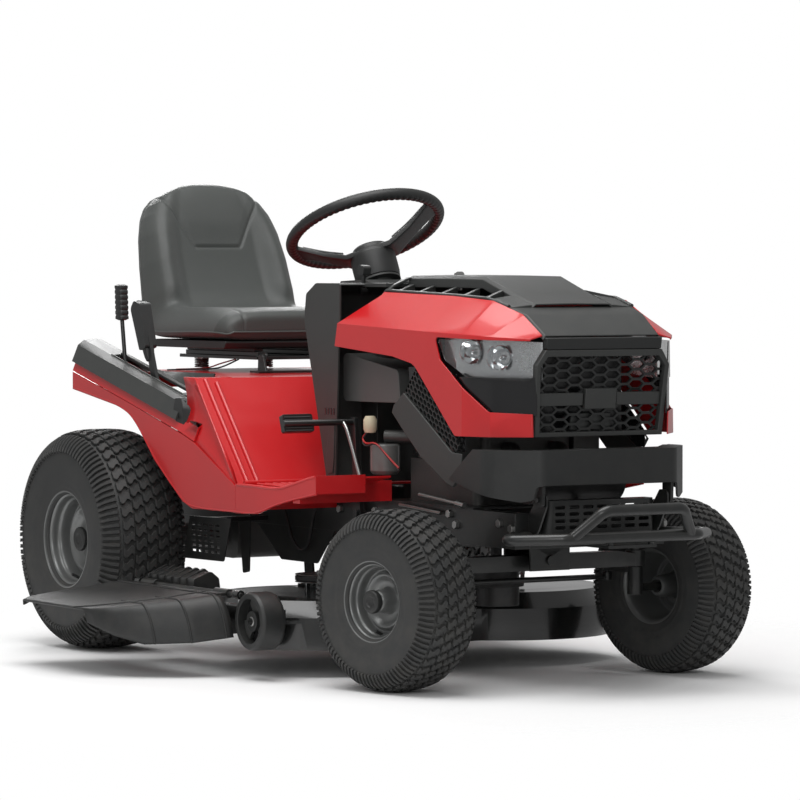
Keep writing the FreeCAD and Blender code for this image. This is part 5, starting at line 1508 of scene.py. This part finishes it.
# Painted shade: each vent slot is a black slab that stands for the shade inside it.
dash_vent_shades = []
for side in (-1, 1):
    low, high = sorted((side * 229, side * 230.8))
    for k in range(4):
        x = 700 + k * 12
        dash_vent_shades.append(slab([(x, 560), (x + 6, 560), (x + 5, 574), (x - 1, 574)], low, high))
piece("dash_vent_shades", joined(*dash_vent_shades), "root", "lamp black and painted shade", "grey_plastic")
knobs = [moved(turned([(0, 0), (0, 26), (4, 27), (7, 25), (7, 20), (3, 18), (3, 0)], axis="z",
                      steps=40), (800, y, 847.5)) for y in (-70, 70)]
piece("dash_knobs", joined(*knobs), "root", "black moulding", "black_plastic", smooth=50)
ridges = []
for k in range(6):
    ridge_form = between((771, -378, 531 + k * 6), (771, -312, 531 + k * 6), 2.4, 8)
    ridges.append(turned_form(ridge_form, -18, "y", (779, 0, 545)))
piece("pedal_ridges", moved(joined(*ridges), (8.4, 0, 0)), "pedal", "belt rubber",
      "frame_black", smooth=60)
print("dash and pedal done")

# %% [markdown]
# The trim ends in a black nose that hangs down like a small bucket and narrows to its foot.

# %% Trim noses
nose_rows = []
for z, x0, x1, half in ((590, 350, 388, 33), (574, 350, 402, 37), (566, 350, 407, 38),
                        (500, 362, 404, 31), (486, 366, 402, 28), (480, 370, 398, 24)):
    corners = [(x0, -half, z), (x1 - 12, -half, z), (x1, -half + 14, z), (x1, half - 14, z),
               (x1 - 12, half, z), (x0, half, z)]
    nose_rows.append(np.array(corners, float) + np.array([0, -383, 0]))
nose = loft(np.stack(nose_rows))
piece("trim_nose_right", nose, "root", "black moulding", "grey_plastic", bevel=2.0, smooth=40)
piece("trim_nose_left", mirrored(nose), "root", "black moulding", "grey_plastic", bevel=2.0,
      smooth=40)
print("trim noses done")

# %% [markdown]
# ## Discharge chute cover
#
# The chute cover is one soft moulding hinged to the deck's edge. Its top is flat and its front
# rolls down in a quarter ellipse, which keeps cut grass inside. Thin bands stiffen the roll.

# %% Chute cover
CHUTE_Y = np.linspace(-523, -776, 24)
CHUTE_SHARE = (CHUTE_Y[0] - CHUTE_Y) / (CHUTE_Y[0] - CHUTE_Y[-1])
CHUTE_TILT, CHUTE_ABOUT = 7.6, (0, -520, 178)


def chute_row(share):
    """One section of the cover: rear lip, flat top, then a quarter ellipse down the front."""
    shares = [0, 0.35, 0.7, 0.88, 1]
    crease = np.interp(share, shares, [738, 722, 668, 630, 585])
    out = np.interp(share, shares, [50, 46, 40, 32, 16])
    drop = np.interp(share, shares, [94, 92, 84, 60, 30])
    rear = np.interp(share, shares, [300, 286, 272, 270, 300])
    angle = np.linspace(0, math.pi / 2, 14)
    roll = np.stack([crease + out * np.sin(angle), 180 - drop * (1 - np.cos(angle))], -1)
    flat = np.stack([np.linspace(rear, crease, 10)[:-1], np.full(9, 180.0)], -1)
    lip = np.array([[rear - 2, 168], [rear - 1, 177]])
    return np.concatenate([lip, flat, roll])


sections = np.stack([chute_row(share) for share in CHUTE_SHARE])
cover = np.stack([sections[..., 0], np.broadcast_to(CHUTE_Y[:, None], sections.shape[:2]),
                  sections[..., 1]], -1)
count = cover.shape[1]
cover_form = (spun(cover.reshape(-1, 3), CHUTE_TILT, "x", CHUTE_ABOUT),
              grid_faces(len(CHUTE_Y), count))
piece("chute_cover", cover_form, "deflector", "black moulding", "black_plastic", smooth=50,
      wall=4.0, replaces=["deflector"])
bands = []
for share in (0.06, 0.36, 0.62):
    row = chute_row(share)[9:]
    y = np.full(len(row), CHUTE_Y[0] - share * (CHUTE_Y[0] - CHUTE_Y[-1]))
    bands.append(swept(spun(np.stack([row[:, 0], y, row[:, 1]], -1), CHUTE_TILT, "x",
                            CHUTE_ABOUT), 2.6, 8))
crease_line = np.stack([sections[:, 10, 0] - 6, CHUTE_Y, np.full(len(CHUTE_Y), 180.5)], -1)
bands.append(swept(spun(crease_line, CHUTE_TILT, "x", CHUTE_ABOUT), 2.4, 8))
hinge_line = np.stack([np.linspace(310, 730, 8), np.full(8, -540.0), np.full(8, 180.5)], -1)
bands.append(swept(spun(hinge_line, CHUTE_TILT, "x", CHUTE_ABOUT), 2.4, 8))
piece("chute_bands", joined(*bands), "deflector", "black moulding", "black_plastic", smooth=60)
HINGE_Y, HINGE_Z, KNUCKLE_LENGTH = -500, 178, 60
hinge = [between((326, HINGE_Y, HINGE_Z), (802, HINGE_Y, HINGE_Z), 5.0)]
for x in (360, 690):
    end = x + KNUCKLE_LENGTH
    hinge.append(between((x, HINGE_Y, HINGE_Z), (end, HINGE_Y, HINGE_Z), 10.0, 24))
    hinge.append(brick(x, end, -532, -506, 174, 180))
piece("chute_hinge", joined(*hinge), "deflector", "frame paint", "black_plastic", smooth=50,
      bevel=0.6)
print("chute cover rows", len(CHUTE_Y), "columns", count)

# %% [markdown]
# ## Scalp wheels
#
# Each small deck wheel has three spokes set back inside its rim, with a black disc of painted shade
# behind them for the dark gaps, and a bright axle end.


# %% Scalp wheel faces
def wedge(angle, inner, outer, half_inner, half_outer):
    """Outline of a spoke: it widens from the hub to the rim, both ends following circles."""
    near = np.radians(angle + np.linspace(-half_inner, half_inner, 6))
    far = np.radians(angle + np.linspace(half_outer, -half_outer, 8))
    return np.concatenate([np.stack([np.cos(near), np.sin(near)], -1) * inner,
                           np.stack([np.cos(far), np.sin(far)], -1) * outer])


SCALP_X, SCALP_Z = 874, 127
for side, word in ((-1, "right"), (1, "left")):
    low, high = sorted((side * 499, side * 507))
    spokes = [slab(wedge(angle, 13, 47, 26, 29) + np.array([SCALP_X, SCALP_Z]), low, high)
              for angle in (90, 210, 330)]
    piece(f"scalp_spokes_{word}", joined(*spokes), f"scalp_wheel_{word}", "grey moulding",
          "black_plastic", bevel=1.0)
    # Painted shade: a black disc behind the spokes stands for the shade in the gaps.
    face = turned([(0, 0), (0, 48), (1, 48), (1, 0)], (SCALP_X, side * 498.2 - 0.5, SCALP_Z),
                  "y", 48)
    piece(f"scalp_gap_shade_{word}", face, f"scalp_wheel_{word}", "lamp black and painted shade", "black_plastic")
    hub = turned([(-12, 0), (-12, 9), (-9, 13), (9, 13), (12, 9), (12, 0)],
                 (SCALP_X, side * 505, SCALP_Z), "y", 40)
    piece(f"scalp_hub_{word}", hub, f"scalp_wheel_{word}", "bare steel", "black_plastic",
          smooth=50)
print("scalp wheel faces done")

# %% [markdown]
# ## Rods, wires and a plug
#
# A thin bright rod joins the pedal to the gearbox linkage. A loop of cable hangs at the deck
# hanger. Above the oil filter sits a pale plug with its wires.

# %% Rods and wires
rod_line = smoothed([(782, -232, 545), (800, -232, 530), (858, -230, 412), (872, -229, 384)], 3)
piece("pedal_rod", swept(rod_line, 4.4, 12), "pedal", "bare steel", "frame_black", smooth=60)
loop = smoothed([(452, -196, 345), (470, -198, 332), (500, -198, 268), (540, -198, 246),
                 (575, -198, 262), (596, -198, 335), (610, -196, 350)], 3)
piece("cable_loop", swept(loop, 3.4, 10), "root", "belt rubber", "frame_black", smooth=60)
plug = turned([(-20, 0), (-20, 12), (-12, 15), (8, 15), (16, 10), (16, 0)], (866, -214, 545),
              "z", 32)
piece("sensor_plug", plug, "root", "cream plastic", "engine_black", smooth=50)
leads = []
for k, tone in enumerate((0, 6)):
    line = smoothed([(870, -222 - k, 528), (850, -226, 512 - tone), (872, -228, 500 - tone),
                     (905, -224, 506), (935, -216, 480), (975, -208, 452 - tone)], 3)
    leads.append(swept(line, 2.2, 8))
piece("sensor_leads", joined(leads[0]), "root", "red wire", "engine_black", smooth=60)
piece("sensor_sleeve", joined(leads[1]), "root", "belt rubber", "engine_black", smooth=60)
links = [between((1040, -196, 398), (1215, -196, 384), 4.0),
         between((960, -196, 372), (1130, -198, 362), 4.0),
         between((1190, -196, 386), (1222, -196, 383), 7.0)]
piece("side_links", joined(*links), "root", "bare steel", "frame_black", smooth=50)
bolts = []
BOLT_SPOTS = [(1154, 362), (1180, 340), (1396, 343), (1350, 352), (1000, 345), (930, 345),
              (850, 352), (700, 350), (300, 350), (-80, 345)]
for x, z in BOLT_SPOTS:
    for side in (-1, 1):
        bolts.append(turned([(-5, 0), (-5, 9), (4, 9), (6, 6), (6, 0)],
                            (x, side * 192, z), "y", 6))
piece("frame_bolts", joined(*bolts), "root", "bare steel", "frame_black", bevel=0.5)
print("rods, wires and", len(bolts), "bolts done")

# %% [markdown]
# ## The plain parts
#
# Brackets, plates and castings already have the right shape in the frame. Each is copied, its
# edges are rounded and it gets its own finish.

# %% Soften what is left
SLOT_FINISH = {
    "frame_black": "frame paint", "red_plastic": "red moulding", "grey_plastic": "grey moulding",
    "black_plastic": "black moulding", "engine_grey": "cast engine",
    "engine_black": "engine black", "filter_black": "filter paint", "tank_grey": "tank moulding",
    "bare_steel": "bare steel", "belt": "belt rubber", "tyre": "tyre rubber",
    "rim_paint": "rim paint", "lamp_clear": "clear lens", "lamp_black": "lamp black and painted shade",
    "vinyl": "seat vinyl", "deck_paint": "deck paint", "battery_black": "battery case",
}
EDGES = {"body_rear": 3.0, "footboards": 3.0, "fender_trims": 2.5, "dash_console": 2.5,
         "hood_sides": 1.2, "hood_top": 1.2, "front_fascia": 1.6,
         "seat_pan": 2.5, "fuel_tank": 3.0, "deck_shell": 1.0, "drive_belt": 0.6,
         "blade_belt": 0.6, "frame": 0.8, "sector_gear": 0.4, "steering_pinion": 0.4}
NODE_FINISH = {"engine_pulley": "engine black", "transaxle_pulley": "engine black",
               "drag_link": "frame paint", "tie_rod": "frame paint",
               "sector_gear": "frame paint"}
for node_name, slot_name in NODE_SLOT.items():
    if frame["nodes"][node_name].hide_render:
        continue
    softened(node_name, NODE_FINISH.get(node_name, SLOT_FINISH[slot_name]),
             EDGES.get(node_name, 1.0))
